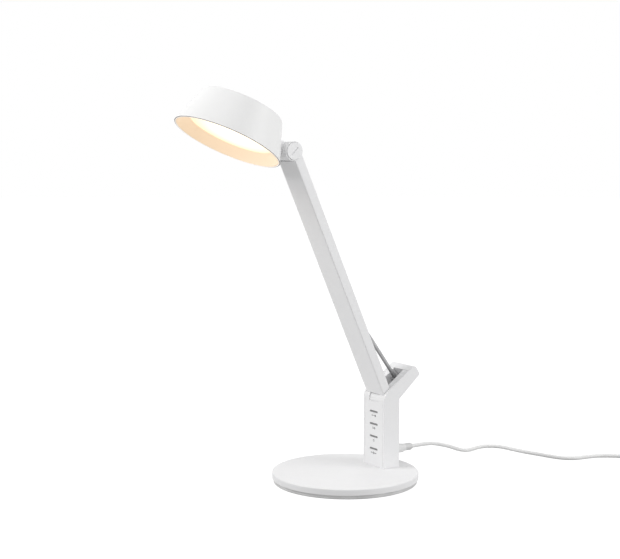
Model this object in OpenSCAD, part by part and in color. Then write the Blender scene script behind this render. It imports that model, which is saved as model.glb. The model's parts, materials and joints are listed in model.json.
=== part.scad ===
// LED desk lamp: a round weighted base, a Y-shaped post with touch keys, a flat sprung arm and a tilting round head.
// X runs along the hinge pins, the front faces -Y, Z is up, and the origin is under the middle of the foot.
// The arm stands between the post's side walls. Behind it a steel strut runs from the post's branch into the arm,
// to a carriage that slides in the arm on a spring and carries the arm's weight.

/* [Base] */
// Diameter of the base cover
base_d = 150; // [140:1:170]
// Height of the base cover
cover_h = 6.6; // [6.2:0.2:9]
// Wall of the base cover
cover_wall = 1.8; // [1.5:0.1:2]
// Radius of the cover's top edge
cover_edge = 1.4; // [0.8:0.1:1.5]
// Thickness of the base plate inside the cover
plate_t = 1.6; // [1.4:0.1:2]
// Thickness of the rubber foot
foot_t = 3.8; // [3:0.1:4.5]
// How far the foot stands back from the cover's side
foot_inset = 4; // [3:0.5:6]
// Thickness of the steel ballast disc
ballast_t = 2.9; // [2:0.1:3]
// Distance of the cover's screws from the middle
cover_screw_r = 56; // [50:1:60]

/* [Post] */
// Width of the post
post_w = 36; // [35:0.5:42]
// Depth of the post from front to back
post_t = 19.5; // [19:0.25:24]
// Distance of the post's middle from the base's rear edge
post_inset = 29.25; // [28:0.25:33]
// Height of the arm's lower hinge above the table
pivot_z = 80; // [78:1:95]
// Wall of the post's shell
shell_wall = 2.4; // [2:0.1:2.6]
// Radius of the post's front shoulder seen from the side
front_round = 12.5; // [12:0.25:14]
// Height of the front shoulder's centre above the hinge
round_rise = 1.1; // [0.6:0.1:2]
// Radius of the hinge cheeks, over which the arm's foot swings
cheek_r = 10.4; // [10.1:0.1:11.5]
// Thickness of the floor that the post stands on
post_floor = 4; // [3:0.5:6]

/* [Branch] */
// Angle of the branch's upper edge above level
branch_angle = 35; // [33:0.5:38]
// Angle of the branch's lower edge above level
branch_low_angle = 41.5; // [40:0.5:44]
// Length of the branch's straight upper edge
branch_len = 41.5; // [40:0.5:44]
// Thickness of the branch at its flat end
branch_end_t = 12; // [11.5:0.25:13]
// Radius of the two corners at the branch's end
branch_end_r = 3; // [3:0.25:4]
// Length of the closed cap at the branch's end
branch_cap = 9; // [8:0.25:10]
// How far the inner frame lies under the rim of the side walls at the shoulder
ledge = 1.2; // [0.8:0.1:1.8]
// How far the inner frame lies under the rim of the side walls at the cap
cap_ledge = 0.3; // [0.2:0.1:0.8]
// Distance of the strut's pin from the branch's flat end
strut_pin_back = 18; // [17:0.2:19]
// Depth of the strut's pin under the branch's upper edge
strut_pin_drop = 7.8; // [7.4:0.1:8.2]

/* [Keys and socket] */
// Width of a key's bar
bar_w = 12.4; // [10:0.2:16]
// Height of a key's bar
bar_h = 1.8; // [1.2:0.1:2.4]
// Height of the top key above the table
key_top_z = 67.7; // [64:0.5:69]
// Distance from one key to the next
key_pitch = 13.1; // [11:0.1:14]
// Height of the power socket above the table
socket_z = 25; // [22:0.5:30]
// Thickness of the circuit boards
board_t = 1.2; // [1:0.1:1.6]

/* [Arm] */
// Lean of the arm to the front as shown
arm_lean = 24.2; // [20:0.2:28]
// Distance between the arm's two hinges along the arm
arm_len = 281.5; // [250:0.5:320]
// Width of the arm
arm_w = 30.5; // [30:0.5:36]
// Thickness of the arm
arm_t = 9.7; // [9.5:0.1:11]
// Side walls of the arm
arm_side = 2.4; // [2:0.1:3]
// Front wall and rear cover of the arm
arm_wall = 1.5; // [1.2:0.1:1.8]
// Radius of the arm's long front edges
arm_edge = 1.2; // [0.6:0.1:1.4]
// Width of the lug at the arm's foot
lug_w = 15; // [13:0.5:17]
// How far the arm swings back from the pose shown
swing_back = 8; // [4:1:10]
// Distance from the lower hinge to the carriage's pin
carriage_z = 122; // [118:1:126]
// How far the carriage's pin lies behind the arm's middle
carriage_off = 0.7; // [0.6:0.05:0.8]
// Diameter of the strut
strut_d = 4; // [3.4:0.1:4.4]

/* [Head joint] */
// Distance of the upper hinge in front of the arm's middle
knuckle_fwd = 1.75; // [1:0.25:3]
// Radius of the round ears at the arm's top
ear_r = 9.5; // [9:0.25:11]
// Thickness of each ear
ear_t = 3.1; // [2.8:0.1:4]
// Radius of the slotted screw's head
cap_r = 8.4; // [7:0.1:8.6]
// How far the screw's head stands out of the ear
cap_proud = 0.8; // [0.4:0.1:1.4]

/* [Head] */
// Lean of the head's top to the back as shown
head_tilt = 26.5; // [20:0.5:32]
// Radius of the shade at its open rim
rim_r = 54.2; // [50:0.2:60]
// Radius of the shade at its top
top_r = 40.5; // [38:0.2:44]
// Height of the shade
shade_h = 38.5; // [36:0.5:44]
// Wall of the shade
shade_wall = 1.5; // [1.2:0.1:2]
// Radius of the shade's top edge
shade_edge = 0.8; // [0.5:0.1:1.5]
// Distance of the shade's middle in front of its hinge
head_reach = 62.2; // [60:0.1:64]
// Distance of the open rim below the hinge
head_drop = 22; // [19:0.2:24]
// Depth of the diffuser above the open rim
diffuser_depth = 10; // [8:0.5:13]
// Radius of the diffuser that shows
diffuser_r = 41.5; // [40:0.5:45]

/* [Cord] */
// Diameter of the cord
cord_d = 4; // [3.6:0.1:4.2]
// Length of the plug at the post
plug_len = 30.2; // [26:0.2:34]
// Turns in each layer of the coil
coil_turns = 4; // [2:1:4]

/* [Fits] */
// Gap between parts that move past each other
gap = 0.3; // [0.2:0.05:0.4]
// Gap around a pin in its bore
pin_gap = 0.05; // [0.03:0.01:0.08]
// Gap between fixed parts
fit = 0.1; // [0.05:0.05:0.2]

/* [Hidden] */
$fn = 64;

white = [0.93, 0.93, 0.92];
pale = [0.85, 0.85, 0.84];
dark = [0.25, 0.25, 0.26];
steel = [0.45, 0.45, 0.46];
zinc = [0.7, 0.7, 0.72];
green = [0.2, 0.42, 0.28];

// Base heights and radii
plate_z = foot_t + plate_t;
base_z = foot_t + cover_h;
base_r = base_d / 2;
foot_r = base_r - foot_inset;
inner_r = base_r - cover_wall;
post_screw_x = 9;
post_screw_r = 1.6;
screw_r = 1.4;
screw_head_r = 2.8;
screw_head_h = 1.2;
boss_r = 4;
cover_screw_n = 4;
ballast_gap = 1.5;
// Overshoot of a cutting body, and the reach of one that opens a side
cut = 1;
far = 90;

// Centre of a round corner at p, from the two inward normals of its sides
function corner_centre(p, n1, n2, r) = p + r * (n1 + n2) / (1 + n1 * n2);

// Post outline in the Y-Z plane, as points [y, z]
post_y = base_r - post_inset;
front_y = post_y - post_t / 2;
rear_y = post_y + post_t / 2;
pivot = [post_y, pivot_z];
shoulder = [front_y + front_round, pivot_z + round_rise];
top_dir = [cos(branch_angle), sin(branch_angle)];
top_nrm = [-sin(branch_angle), cos(branch_angle)];
low_nrm = [sin(branch_low_angle), -cos(branch_low_angle)];
end_top = shoulder + front_round * top_nrm + branch_len * top_dir;
end_low = end_top - branch_end_t * top_nrm;
top_corner = corner_centre(end_top, -top_nrm, -top_dir, branch_end_r);
bottom_corner = corner_centre(end_low, -top_dir, -low_nrm, branch_end_r);
strut_foot = end_top - strut_pin_back * top_dir - strut_pin_drop * top_nrm;
inner_w = post_w - 2 * shell_wall;
seam = 0.3;
notch_drop = 1.5;
swing_margin = 1.5;
lug_back_r = 6.8;
lug_len = 20;
lug_front_drop = 7;
lug_r = post_t / 2 - 2 * gap;
channel_w = lug_w + 2 * gap;
channel_z = pivot_z - lug_r - 2 * gap;
frame_floor = 6;
frame_z = channel_z - frame_floor;
pivot_r = 3;
strut_pin_r = 1.5;
strut_eye_r = 3;
strut_eye_w = 8;
strut_pin_hold = 6;
strut_pin_len = channel_w + 2 * strut_pin_hold;
pivot_washer_r = 5.5;

// Keys, boards and power socket
bar_depth = 1;
bar_proud = 0.08;
key_n = 4;
board_w = 24;
board_clear = 2.4;
board_front = front_y + shell_wall + fit;
board_top = channel_z - board_clear;
board_low = base_z + post_floor + cut;
usb_w = 8.2;
usb_h = 2.5;
usb_r = 1.2;
usb_len = 6.5;
usb_play = 0.2;
usb_wall = 0.3;
socket_depth = 7.5;
control_z = socket_z - usb_h / 2 - usb_play - usb_wall - gap - board_t;

// Arm, in its own frame: y to the back, z along the arm, from the lower hinge
arm_back = [cos(arm_lean), sin(arm_lean)];
arm_up = [-sin(arm_lean), cos(arm_lean)];
foot_swing_r = cheek_r + gap;
arm_inner_w = arm_w - 2 * arm_side;
ear_in = arm_w / 2 - ear_t;
knuckle_pin_r = 2.5;
washer_t = 0.6;
washer_gap = 0.05;
barrel_half = ear_in - washer_t - 2 * washer_gap;
barrel_r = ear_r - gap;
cover_start = 2.5;
cover_z0 = foot_swing_r + cover_start;
cover_z1 = arm_len - barrel_r + cut;
screw_skin = 0.6;
lug_screw_z = [22, 31];
tang_len = 26;
lead_end = 2;
knuckle_washer_r = 7;
cap_seat = 1.2;
cap_slot_w = 1.3;
cap_slot_len = 10;
cap_slot_depth = 0.8;
cap_slot_angle = 44;

// Strut: from the pin in the branch to the pin in the carriage
carriage_pin = pivot + carriage_z * arm_up + carriage_off * arm_back;
strut_vec = carriage_pin - strut_foot;
strut_len = norm(strut_vec);
strut_lean = atan2(-strut_vec[0], strut_vec[1]);
top_eye_r = 2.3;
cross_pin_r = 1.2;
slot_down = 54;
slot_up = 10;
slot_z0 = carriage_z - slot_down;
slot_z1 = carriage_z + slot_up;
carriage_len = 18;
carriage_play = 0.9;
pin_play = 1.9;
eye_room = 2;
cross_pin_inset = 0.5;
rail_t = 1.4;
wire_r = 1.1;
wire_room = 2 * wire_r + 1.5 * gap;
carriage_w = arm_inner_w - 2 * (rail_t + gap + wire_room);
rail_len = 62;
rail_down = 42;
rail_z0 = carriage_z - rail_down;
spring_r = 2.9;
spring_wire_r = 0.5;
anchor_up = 88;
anchor_z = carriage_z + anchor_up;
anchor_w = 14;
anchor_h = 9;
anchor_slot = 5;
anchor_pin_r = 1;
spring_room = 0.6;
spring_hook = 1.2;
spring_z0 = carriage_z + carriage_len / 2 + spring_hook;
spring_z1 = anchor_z + spring_hook / 2;
stub_r = 1.2;
wire_x = arm_inner_w / 2 - wire_r - gap;

// Head, in its own frame: z along the shade's axis, y to the back, from the upper hinge
shade_mid = [0, -head_reach, -head_drop];
neck_w = 15;
neck_h = 11;
neck_screw_x = 4;
neck_screw_seat = 2.1;
neck_screw_len = 8;
neck_head_r = 2.2;
neck_head_h = 1;
diffuser_t = 2;
diffuser_lap = 2.4;
board_room = 5.4;
board_z = diffuser_depth + diffuser_t + board_room;
led_r = 40;
led_n = 24;
led_ring_r = 34;
led_size = [3, 2.6, 0.9];
heat_t = 2.5;
head_boss_r = 3.2;
head_screw_n = 3;
head_screw_r0 = 28;
head_screw_hold = 6;
top_t = 1.8;
ring_low = 0.4;
ring_lip = 1.6;
ring_lip_t = 1;
ring_edge = 0.6;
ring_lap = 1.8;

// Outer and inner radius of the shade at height z above its rim, and the centre of its top edge
function wall_r(z) = rim_r - (rim_r - top_r) * z / shade_h;
function shade_in_r(z) = wall_r(z) - shade_wall;
shade_slope = atan((rim_r - top_r) / shade_h);
shade_nrm = [cos(shade_slope), sin(shade_slope)];
shade_edge_c = corner_centre([top_r, shade_h], [0, -1], -shade_nrm, shade_edge);

// Cord route, with y from the plug's end: it sags from the socket's height, given as a share of it, to the table,
// and runs off in loose curves, with z above the table
plug_y0 = rear_y + gap;
plug_y1 = plug_y0 + plug_len;
cord_r = cord_d / 2;
sag = [
    [0, 0, 1], [0, 12, 1], [0, 26, 0.978], [-2, 41, 0.826], [-6, 57, 0.609], [-13, 73, 0.348], [-20, 89, 0.13],
    [-26, 103, 0.022]
];
curves = [
    [-31, 117, 0], [-31, 132, 0], [-20, 143, 0], [-3, 146, 0], [14, 149, 0], [31, 154, 0], [46, 158, 0],
    [59, 164, 0], [67, 175, 0], [69, 188, 0], [72, 201, 0], [78, 212, 0], [85, 220, 0], [93, 226.5, 0.3],
    [102, 230, 0.7], [106, 230, 0.7]
];
route = concat(
    [for (p = sag) [p[0], plug_y1 + p[1], cord_r + p[2] * (socket_z - cord_r)]],
    [for (p = curves) [p[0], plug_y1 + p[1], cord_r + p[2]]]
);
route_end = route[len(route) - 1];
coil_z = route_end[2];
coil_space = 0.95;
coil_pitch = cord_d + coil_space;
coil_mid_r = 22;
loop_steps = 24;
coil_in_r = coil_mid_r - coil_turns * coil_pitch / 2;
coil_out_r = coil_mid_r + coil_turns * coil_pitch / 2;
coil_c = [route_end[0] + cord_d, route_end[1] + coil_out_r];
tie_t = 0.5;
tie_w = 7;
tie_r = 1.5;

// Plug at the post, from its face: grip, taper and strain relief
plug_w = 11.4;
plug_h = 8.4;
plug_r = 3;
plug_grip = 15;
plug_taper = 6;
relief_r = 3.5;
relief_end_r = 2.8;

// Plug at the far end
plug_a_w = 15.6;
plug_a_h = 8;
plug_a_r = 2;
plug_a_neck = 8;
plug_a_grip = 16;
plug_a_len = plug_a_neck + plug_a_grip;
usb_a_w = 12;
usb_a_h = 4.5;
usb_a_len = 12;
usb_a_wall = 0.4;
usb_a_mouth = 1.9;
usb_a_floor = 2;

// Flat outlines are given as [y, z] and extruded to both sides along X
module along_x(w) rotate([90, 0, 90]) linear_extrude(w, center = true) children();

module pin_x(r, w) rotate([0, 90, 0]) cylinder(r = r, h = w, center = true);

module arm_frame() translate([0, post_y, pivot_z]) rotate([arm_lean, 0, 0]) children();

module head_frame() arm_frame() translate([0, -knuckle_fwd, arm_len])
    rotate([-arm_lean - head_tilt, 0, 0]) children();

module shade_frame() head_frame() translate(shade_mid) children();

module strut_frame() translate([0, strut_foot[0], strut_foot[1]]) rotate([strut_lean, 0, 0]) children();

// Rectangle with four round corners, centred
module round_rect(w, h, r) {
    square([w - 2 * r, h], center = true);
    square([w, h - 2 * r], center = true);
    for (x = [-1, 1], y = [-1, 1]) translate([x * (w / 2 - r), y * (h / 2 - r)]) circle(r);
}

// A screw from z = 0 up, with a flat head below z = screw_head_h
module screw(len) {
    cylinder(r = screw_head_r, h = screw_head_h);
    cylinder(r = screw_r, h = len);
}

// Points of the post's outline, drawn in by d: the shoulder, where the cap begins, and under the branch
function shoulder_point(d) = shoulder + (front_round - d) * top_nrm;
function cap_point(d) = end_top - branch_cap * top_dir - d * top_nrm;
function low_point(d) = bottom_corner + (branch_end_r - d) * low_nrm;
function low_corner(d) = [
    rear_y - d,
    low_point(d)[1] - (low_point(d)[0] - rear_y + d) * tan(branch_low_angle)
];

// Outline of the post with its branch, drawn in by d, from height z0 up
module y_outline(d, z0) {
    end_r = branch_end_r - d;
    polygon([
        [front_y + d, z0], [rear_y - d, z0], low_corner(d), low_point(d), bottom_corner + end_r * top_dir,
        top_corner + end_r * top_dir, top_corner + end_r * top_nrm, shoulder_point(d), [front_y + d, shoulder[1]]
    ]);
    intersection() {
        translate(shoulder) circle(front_round - d);
        translate([front_y - cut, shoulder[1] - cut]) square([front_round + cut, front_round + 2 * cut]);
    }
    translate(top_corner) circle(end_r);
    translate(bottom_corner) circle(end_r);
}

// Space that the arm's foot needs on its way from its rear limit to the front
module foot_swing() {
    lean = arm_lean - swing_back - swing_margin;
    back = [cos(lean), sin(lean)];
    up = [-sin(lean), cos(lean)];
    edge = pivot + (arm_t / 2 + 2 * gap) * back;
    low = edge - up * (edge[1] - pivot_z) / up[1];
    difference() {
        polygon([[front_y - far, pivot_z], low, edge + far * up, [front_y - far, pivot_z + far]]);
        translate(pivot) circle(cheek_r);
    }
}

// Open mouth between the side walls, above the branch
module branch_mouth(d) {
    polygon([
        shoulder_point(d), cap_point(d), cap_point(-far), shoulder_point(-far)
    ]);
}

// Slot between the cheeks, for the lug and the strut
module channel_outline() {
    difference() {
        translate([front_y - cut, channel_z]) square([far, far]);
        polygon([
            cap_point(far), cap_point(far) + far * top_dir, cap_point(-far) + far * top_dir, cap_point(-far)
        ]);
    }
}

module at_cover_screws() {
    for (i = [0 : cover_screw_n - 1]) rotate((i + 0.5) * 360 / cover_screw_n)
        translate([cover_screw_r, 0, 0]) children();
}

module at_post_screws() {
    for (x = [-1, 1]) translate([x * post_screw_x, post_y, 0]) children();
}

module foot_pad() {
    color(dark) cylinder(r = foot_r, h = foot_t, $fn = 128);
}

module base_plate() {
    color(dark) difference() {
        translate([0, 0, foot_t]) cylinder(r = inner_r - fit, h = plate_t, $fn = 128);
        at_cover_screws() screw_hole();
        at_post_screws() screw_hole();
    }
}

// Stepped hole in the base plate for a screw head and its shank
module screw_hole() {
    translate([0, 0, foot_t - cut]) cylinder(r = screw_head_r + fit, h = screw_head_h + fit + cut);
    translate([0, 0, foot_t]) cylinder(r = post_screw_r + fit, h = plate_t + cut);
}

module ballast_plate() {
    color(steel) difference() {
        translate([0, 0, plate_z]) cylinder(r = inner_r - ballast_gap, h = ballast_t, $fn = 128);
        translate([0, 0, plate_z - cut]) {
            at_cover_screws() cylinder(r = boss_r + gap, h = ballast_t + 2 * cut);
            at_post_screws() cylinder(r = post_screw_r + gap, h = ballast_t + 2 * cut);
        }
    }
}

module base_cover() {
    color(white) difference() {
        union() {
            translate([0, 0, foot_t]) rotate_extrude($fn = 128) difference() {
                union() {
                    square([base_r, cover_h - cover_edge]);
                    square([base_r - cover_edge, cover_h]);
                    translate([base_r - cover_edge, cover_h - cover_edge]) circle(cover_edge, $fn = 32);
                }
                translate([0, -cut]) square([inner_r, cover_h - cover_wall + cut]);
            }
            at_cover_screws() translate([0, 0, plate_z])
                cylinder(r = boss_r, h = base_z - plate_z - cover_wall / 2);
        }
        at_cover_screws() translate([0, 0, foot_t]) cylinder(r = screw_r, h = cover_h - cover_wall + gap);
        at_post_screws() translate([0, 0, foot_t]) cylinder(r = post_screw_r + fit, h = cover_h + cut);
    }
}

module base_screws() {
    color(zinc) at_cover_screws() translate([0, 0, foot_t]) screw(cover_h - cover_wall);
}

module post_screws() {
    color(zinc) at_post_screws() translate([0, 0, foot_t])
        screw(base_z - foot_t + post_floor - 2 * gap);
}

module post_housing() {
    color(white) difference() {
        along_x(post_w) y_outline(0, base_z);
        along_x(inner_w) y_outline(shell_wall, base_z + post_floor);
        along_x(inner_w) branch_mouth(shell_wall + fit);
        along_x(inner_w) foot_swing();
        // notch and relief for the lug
        translate([-channel_w / 2, front_y - cut, pivot_z - notch_drop])
            cube([channel_w, post_t / 2, front_round + cheek_r]);
        intersection() {
            translate([0, post_y, pivot_z]) pin_x(lug_r + gap, channel_w);
            translate([-channel_w, front_y, channel_z]) cube([2 * channel_w, post_t / 2, 2 * lug_r]);
        }
        // shallow seats for the key bars
        at_keys() translate([0, front_y, 0])
            cube([bar_w + 2 * fit, 2 * bar_depth, bar_h + 2 * fit], center = true);
        // opening for the plug
        translate([0, rear_y, socket_z]) rotate([90, 0, 0])
            linear_extrude(3 * shell_wall, center = true) usb_outline(usb_play + usb_wall + fit);
        // seams beside the front
        for (s = [-1, 1]) translate([s * inner_w / 2, front_y, (base_z + shoulder[1]) / 2])
            cube([seam, 2 * seam, shoulder[1] - base_z], center = true);
        // screw holes in the floor
        at_post_screws() translate([0, 0, base_z - cut]) cylinder(r = screw_r, h = post_floor + 2 * cut);
    }
}

module at_keys() {
    for (i = [0 : key_n - 1]) translate([0, 0, key_top_z - i * key_pitch]) children();
}

module key_bars() {
    color(dark) at_keys() translate([0, front_y + bar_depth / 2 - bar_proud, 0])
        cube([bar_w, bar_depth, bar_h], center = true);
}

// The inner frame: two cheeks that carry both hinge pins, joined under the lug and at the branch's end
module hinge_frame() {
    inset = shell_wall + fit;
    color(pale) difference() {
        along_x(inner_w - 2 * fit) difference() {
            union() {
                y_outline(inset, frame_z);
                polygon([
                    shoulder_point(inset + fit) + fit * top_dir, cap_point(inset + fit) - fit * top_dir,
                    cap_point(cap_ledge) - fit * top_dir, shoulder_point(ledge) + fit * top_dir
                ]);
            }
            foot_swing();
            translate([front_y, frame_z - cut])
                square([shell_wall + fit + 2 * board_t, frame_floor - cut]);
        }
        along_x(channel_w) channel_outline();
        translate([0, post_y, pivot_z]) pin_x(pivot_r, inner_w + 2 * cut);
        translate([0, strut_foot[0], strut_foot[1]]) pin_x(strut_pin_r, strut_pin_len);
    }
}

module touch_board() {
    color(green) translate([-board_w / 2, board_front, board_low])
        cube([board_w, board_t, board_top - board_low]);
}

module control_board() {
    color(green) translate([-board_w / 2, board_front + board_t + gap, control_z])
        cube([board_w, rear_y - shell_wall - board_front - board_t - 2 * gap, board_t]);
}

// Outline of the USB-C plug's metal shell, enlarged by d
module usb_outline(d) round_rect(usb_w + 2 * d, usb_h + 2 * d, usb_r + d);

module usb_socket() {
    color(zinc) translate([0, rear_y - shell_wall - fit, socket_z]) rotate([90, 0, 0]) difference() {
        linear_extrude(socket_depth) usb_outline(usb_play + usb_wall);
        translate([0, 0, -cut]) linear_extrude(socket_depth) usb_outline(usb_play);
    }
}

module pivot_pin() {
    color(steel) translate([0, post_y, pivot_z]) pin_x(pivot_r, inner_w - 2 * fit);
}

module pivot_washers() {
    t = gap - 2 * washer_gap;
    color(zinc) for (s = [-1, 1]) translate([s * (lug_w / 2 + gap / 2), post_y, pivot_z]) difference() {
        pin_x(pivot_washer_r, t);
        pin_x(pivot_r, t + cut);
    }
}

module strut_pin() {
    color(steel) translate([0, strut_foot[0], strut_foot[1]]) pin_x(strut_pin_r, strut_pin_len);
}

// Arm
module arm_shell() {
    color(white) arm_frame() difference() {
        union() {
            difference() {
                linear_extrude(arm_len) union() {
                    round_rect(arm_w, arm_t, arm_edge);
                    translate([-arm_w / 2, 0]) square([arm_w, arm_t / 2]);
                }
                translate([0, 0, -cut]) linear_extrude(arm_len + 2 * cut)
                    translate([-arm_inner_w / 2, arm_wall - arm_t / 2]) square([arm_inner_w, arm_t]);
            }
            for (s = [-1, 1]) translate([s * (arm_w - ear_t) / 2, -knuckle_fwd, arm_len]) pin_x(ear_r, ear_t);
            // ribs that guide the carriage, and a pad under the spring's anchor
            for (s = [-1, 1]) translate([s * (carriage_w / 2 + gap + rail_t / 2) - rail_t / 2, 0, rail_z0])
                translate([0, -arm_t / 2 + arm_wall / 2, 0]) cube([rail_t, arm_t - 1.5 * arm_wall - gap, rail_len]);
        }
        // the foot swings over the cheeks
        pin_x(foot_swing_r, arm_w + 2 * cut);
        barrel_room();
        translate([0, -knuckle_fwd, arm_len]) pin_x(knuckle_pin_r, arm_w + 2 * cut);
        for (s = [-1, 1]) translate([s * arm_w / 2, -knuckle_fwd, arm_len]) pin_x(cap_r + gap, 2 * cap_seat);
        at_lug_screws() translate([0, screw_skin - arm_t / 2, 0]) rotate([-90, 0, 0])
            cylinder(r = screw_r, h = arm_t / 2);
    }
}

// Space for the head's barrel between the ears
module barrel_room() translate([0, -knuckle_fwd, arm_len]) pin_x(barrel_r + 2 * gap, 2 * ear_in);

module at_lug_screws() {
    for (z = lug_screw_z) translate([0, 0, z]) children();
}

module arm_rear_cover() {
    y0 = arm_t / 2 - arm_wall;
    color(white) arm_frame() difference() {
        translate([-arm_inner_w / 2 + fit, y0, cover_z0])
            cube([arm_inner_w - 2 * fit, arm_wall, cover_z1 - cover_z0]);
        slot = strut_d + 4 * gap;
        translate([-slot / 2, y0 - cut, slot_z0]) cube([slot, arm_wall + 2 * cut, slot_z1 - slot_z0]);
        barrel_room();
    }
}

module arm_lug() {
    tang_t = arm_t - 2 * arm_wall - 2 * fit;
    tang_w = arm_inner_w - 2 * fit;
    color(white) arm_frame() difference() {
        union() {
            along_x(lug_w) {
                circle(lug_back_r);
                intersection() {
                    circle(lug_r);
                    polygon([[0, lug_len], [-lug_len, lug_len], [-lug_len, -lug_front_drop], [0, 0]]);
                }
                translate([-tang_t / 2, 0]) square([tang_t, lug_len]);
            }
            difference() {
                translate([-tang_w / 2, -tang_t / 2, 0]) cube([tang_w, tang_t, foot_swing_r + tang_len]);
                pin_x(foot_swing_r, arm_w);
            }
        }
        pin_x(pivot_r + pin_gap, lug_w + 2 * cut);
        at_lug_screws() translate([0, -arm_t / 2, 0]) rotate([-90, 0, 0]) cylinder(r = screw_r, h = arm_t);
        // room for the lead
        translate([-wire_x, 0, 0]) cylinder(r = wire_r + fit, h = foot_swing_r + tang_len + cut);
    }
}

module lug_screws() {
    color(zinc) arm_frame() at_lug_screws() translate([0, arm_t / 2 - arm_wall - fit, 0])
        rotate([90, 0, 0]) cylinder(r = screw_r, h = arm_t - arm_wall - 3 * fit - screw_skin);
}

module spring_anchor() {
    color(zinc) arm_frame() difference() {
        translate([-anchor_w / 2, -arm_t / 2 + arm_wall, anchor_z])
            cube([anchor_w, arm_t - 2 * arm_wall - fit, anchor_h]);
        translate([-spring_r - spring_room, -arm_t / 2, anchor_z - cut])
            cube([2 * (spring_r + spring_room), arm_t, anchor_slot + cut]);
    }
    color(steel) arm_frame() translate([0, 0, anchor_z + anchor_slot / 2]) pin_x(anchor_pin_r, anchor_w - 2 * cut);
}

module balance_spring() {
    color(steel) arm_frame() translate([0, 0, spring_z0]) difference() {
        cylinder(r = spring_r, h = spring_z1 - spring_z0);
        translate([0, 0, -cut]) cylinder(r = spring_r - 2 * spring_wire_r, h = spring_z1 - spring_z0 + 2 * cut);
    }
}

module lead_wire() {
    color(dark) arm_frame() translate([-wire_x, 0, foot_swing_r + lead_end])
        cylinder(r = wire_r, h = cover_z1 - foot_swing_r - 2 * lead_end);
}

module knuckle_pin() {
    color(steel) head_axis() pin_x(knuckle_pin_r, arm_w - 2 * cap_seat - 2 * fit);
}

module head_axis() arm_frame() translate([0, -knuckle_fwd, arm_len]) rotate([-arm_lean, 0, 0]) children();

module cap() {
    translate([arm_w / 2 - cap_seat + (cap_seat + cap_proud) / 2, 0, 0]) pin_x(cap_r, cap_seat + cap_proud);
}

module tension_screw() {
    color(white) head_axis() difference() {
        cap();
        translate([arm_w / 2 + cap_proud, 0, 0]) rotate([cap_slot_angle, 0, 0])
            cube([2 * cap_slot_depth, cap_slot_len, cap_slot_w], center = true);
    }
}

module tension_nut() {
    color(white) head_axis() mirror([1, 0, 0]) cap();
}

module knuckle_washers() {
    color(zinc) head_axis() for (s = [-1, 1]) translate([s * (ear_in - washer_gap - washer_t / 2), 0, 0])
        difference() {
            pin_x(knuckle_washer_r, washer_t);
            pin_x(knuckle_pin_r, washer_t + cut);
        }
}

// Carriage: a block with a slot for the strut's eye and two rear-open seats for its pin
module slider_carriage() {
    t = arm_t - 2 * arm_wall - 2 * fit;
    color(dark) arm_frame() translate([0, 0, carriage_z]) difference() {
        translate([-carriage_w / 2, -t / 2, -carriage_len / 2]) cube([carriage_w, t, carriage_len]);
        translate([-strut_d / 2 - 2 * gap, -t, -carriage_len])
            cube([strut_d + 4 * gap, 2 * t, carriage_len + top_eye_r + eye_room]);
        translate([-carriage_w, carriage_off - cross_pin_r - pin_play, -cross_pin_r - carriage_play])
            cube([2 * carriage_w, t, 2 * cross_pin_r + 2 * carriage_play]);
    }
    color(dark) arm_frame() translate([0, 0, spring_z0 - spring_hook - fit]) cylinder(r = stub_r, h = 2 * spring_hook);
}

module strut_rod() {
    color(steel) strut_frame() difference() {
        union() {
            cylinder(r = strut_d / 2, h = strut_len);
            pin_x(strut_eye_r, strut_eye_w);
            translate([0, 0, strut_len]) pin_x(top_eye_r, strut_d);
        }
        pin_x(strut_pin_r + pin_gap, strut_eye_w + 2 * cut);
        translate([0, 0, strut_len]) pin_x(cross_pin_r, strut_d + 2 * cut);
    }
}

module strut_cross_pin() {
    color(zinc) strut_frame() translate([0, 0, strut_len]) pin_x(cross_pin_r, carriage_w - 2 * cross_pin_inset);
}

// Head
module head_knuckle() {
    color(white) head_frame() difference() {
        union() {
            pin_x(barrel_r, 2 * barrel_half);
            translate([-neck_w / 2, -head_reach, -neck_h / 2]) cube([neck_w, head_reach, neck_h]);
        }
        pin_x(knuckle_pin_r + pin_gap, arm_w);
        translate(shade_mid) cylinder(r1 = rim_r + fit, r2 = top_r + fit, h = shade_h, $fn = 96);
        at_neck_screws() cylinder(r = screw_r, h = head_reach);
    }
}

module at_neck_screws() {
    for (s = [-1, 1]) translate([s * neck_screw_x, shade_in_r(head_drop) - head_reach - neck_screw_seat, 0])
        rotate([-90, 0, 0]) children();
}

module neck_screws() {
    color(zinc) head_frame() at_neck_screws() {
        cylinder(r = neck_head_r, h = neck_head_h);
        cylinder(r = screw_r, h = neck_screw_len);
    }
}

module shade_shell() {
    color(white) shade_frame() difference() {
        union() {
            rotate_extrude($fn = 128) difference() {
                union() {
                    polygon([
                            [0, 0], [rim_r, 0], shade_edge_c + shade_edge * shade_nrm, [shade_edge_c[0], shade_h],
                        [0, shade_h]
                    ]);
                    translate(shade_edge_c) circle(shade_edge, $fn = 32);
                }
                polygon([
                    [-cut, -cut], [shade_in_r(-cut), -cut], [shade_in_r(shade_h - top_t), shade_h - top_t],
                    [-cut, shade_h - top_t]
                ]);
            }
            at_head_screws() translate([0, 0, board_z + board_t + heat_t])
                cylinder(r = head_boss_r, h = shade_h - top_t / 2 - board_z - board_t - heat_t);
        }
        at_head_screws() translate([0, 0, board_z])
            cylinder(r = screw_r, h = board_t + heat_t + head_screw_hold + gap);
        translate(-shade_mid) at_neck_screws() cylinder(r = screw_r + fit, h = neck_screw_len);
    }
}

module at_head_screws() {
    for (i = [0 : head_screw_n - 1]) rotate(90 + i * 360 / head_screw_n)
        translate([head_screw_r0, 0, 0]) children();
}

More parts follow.
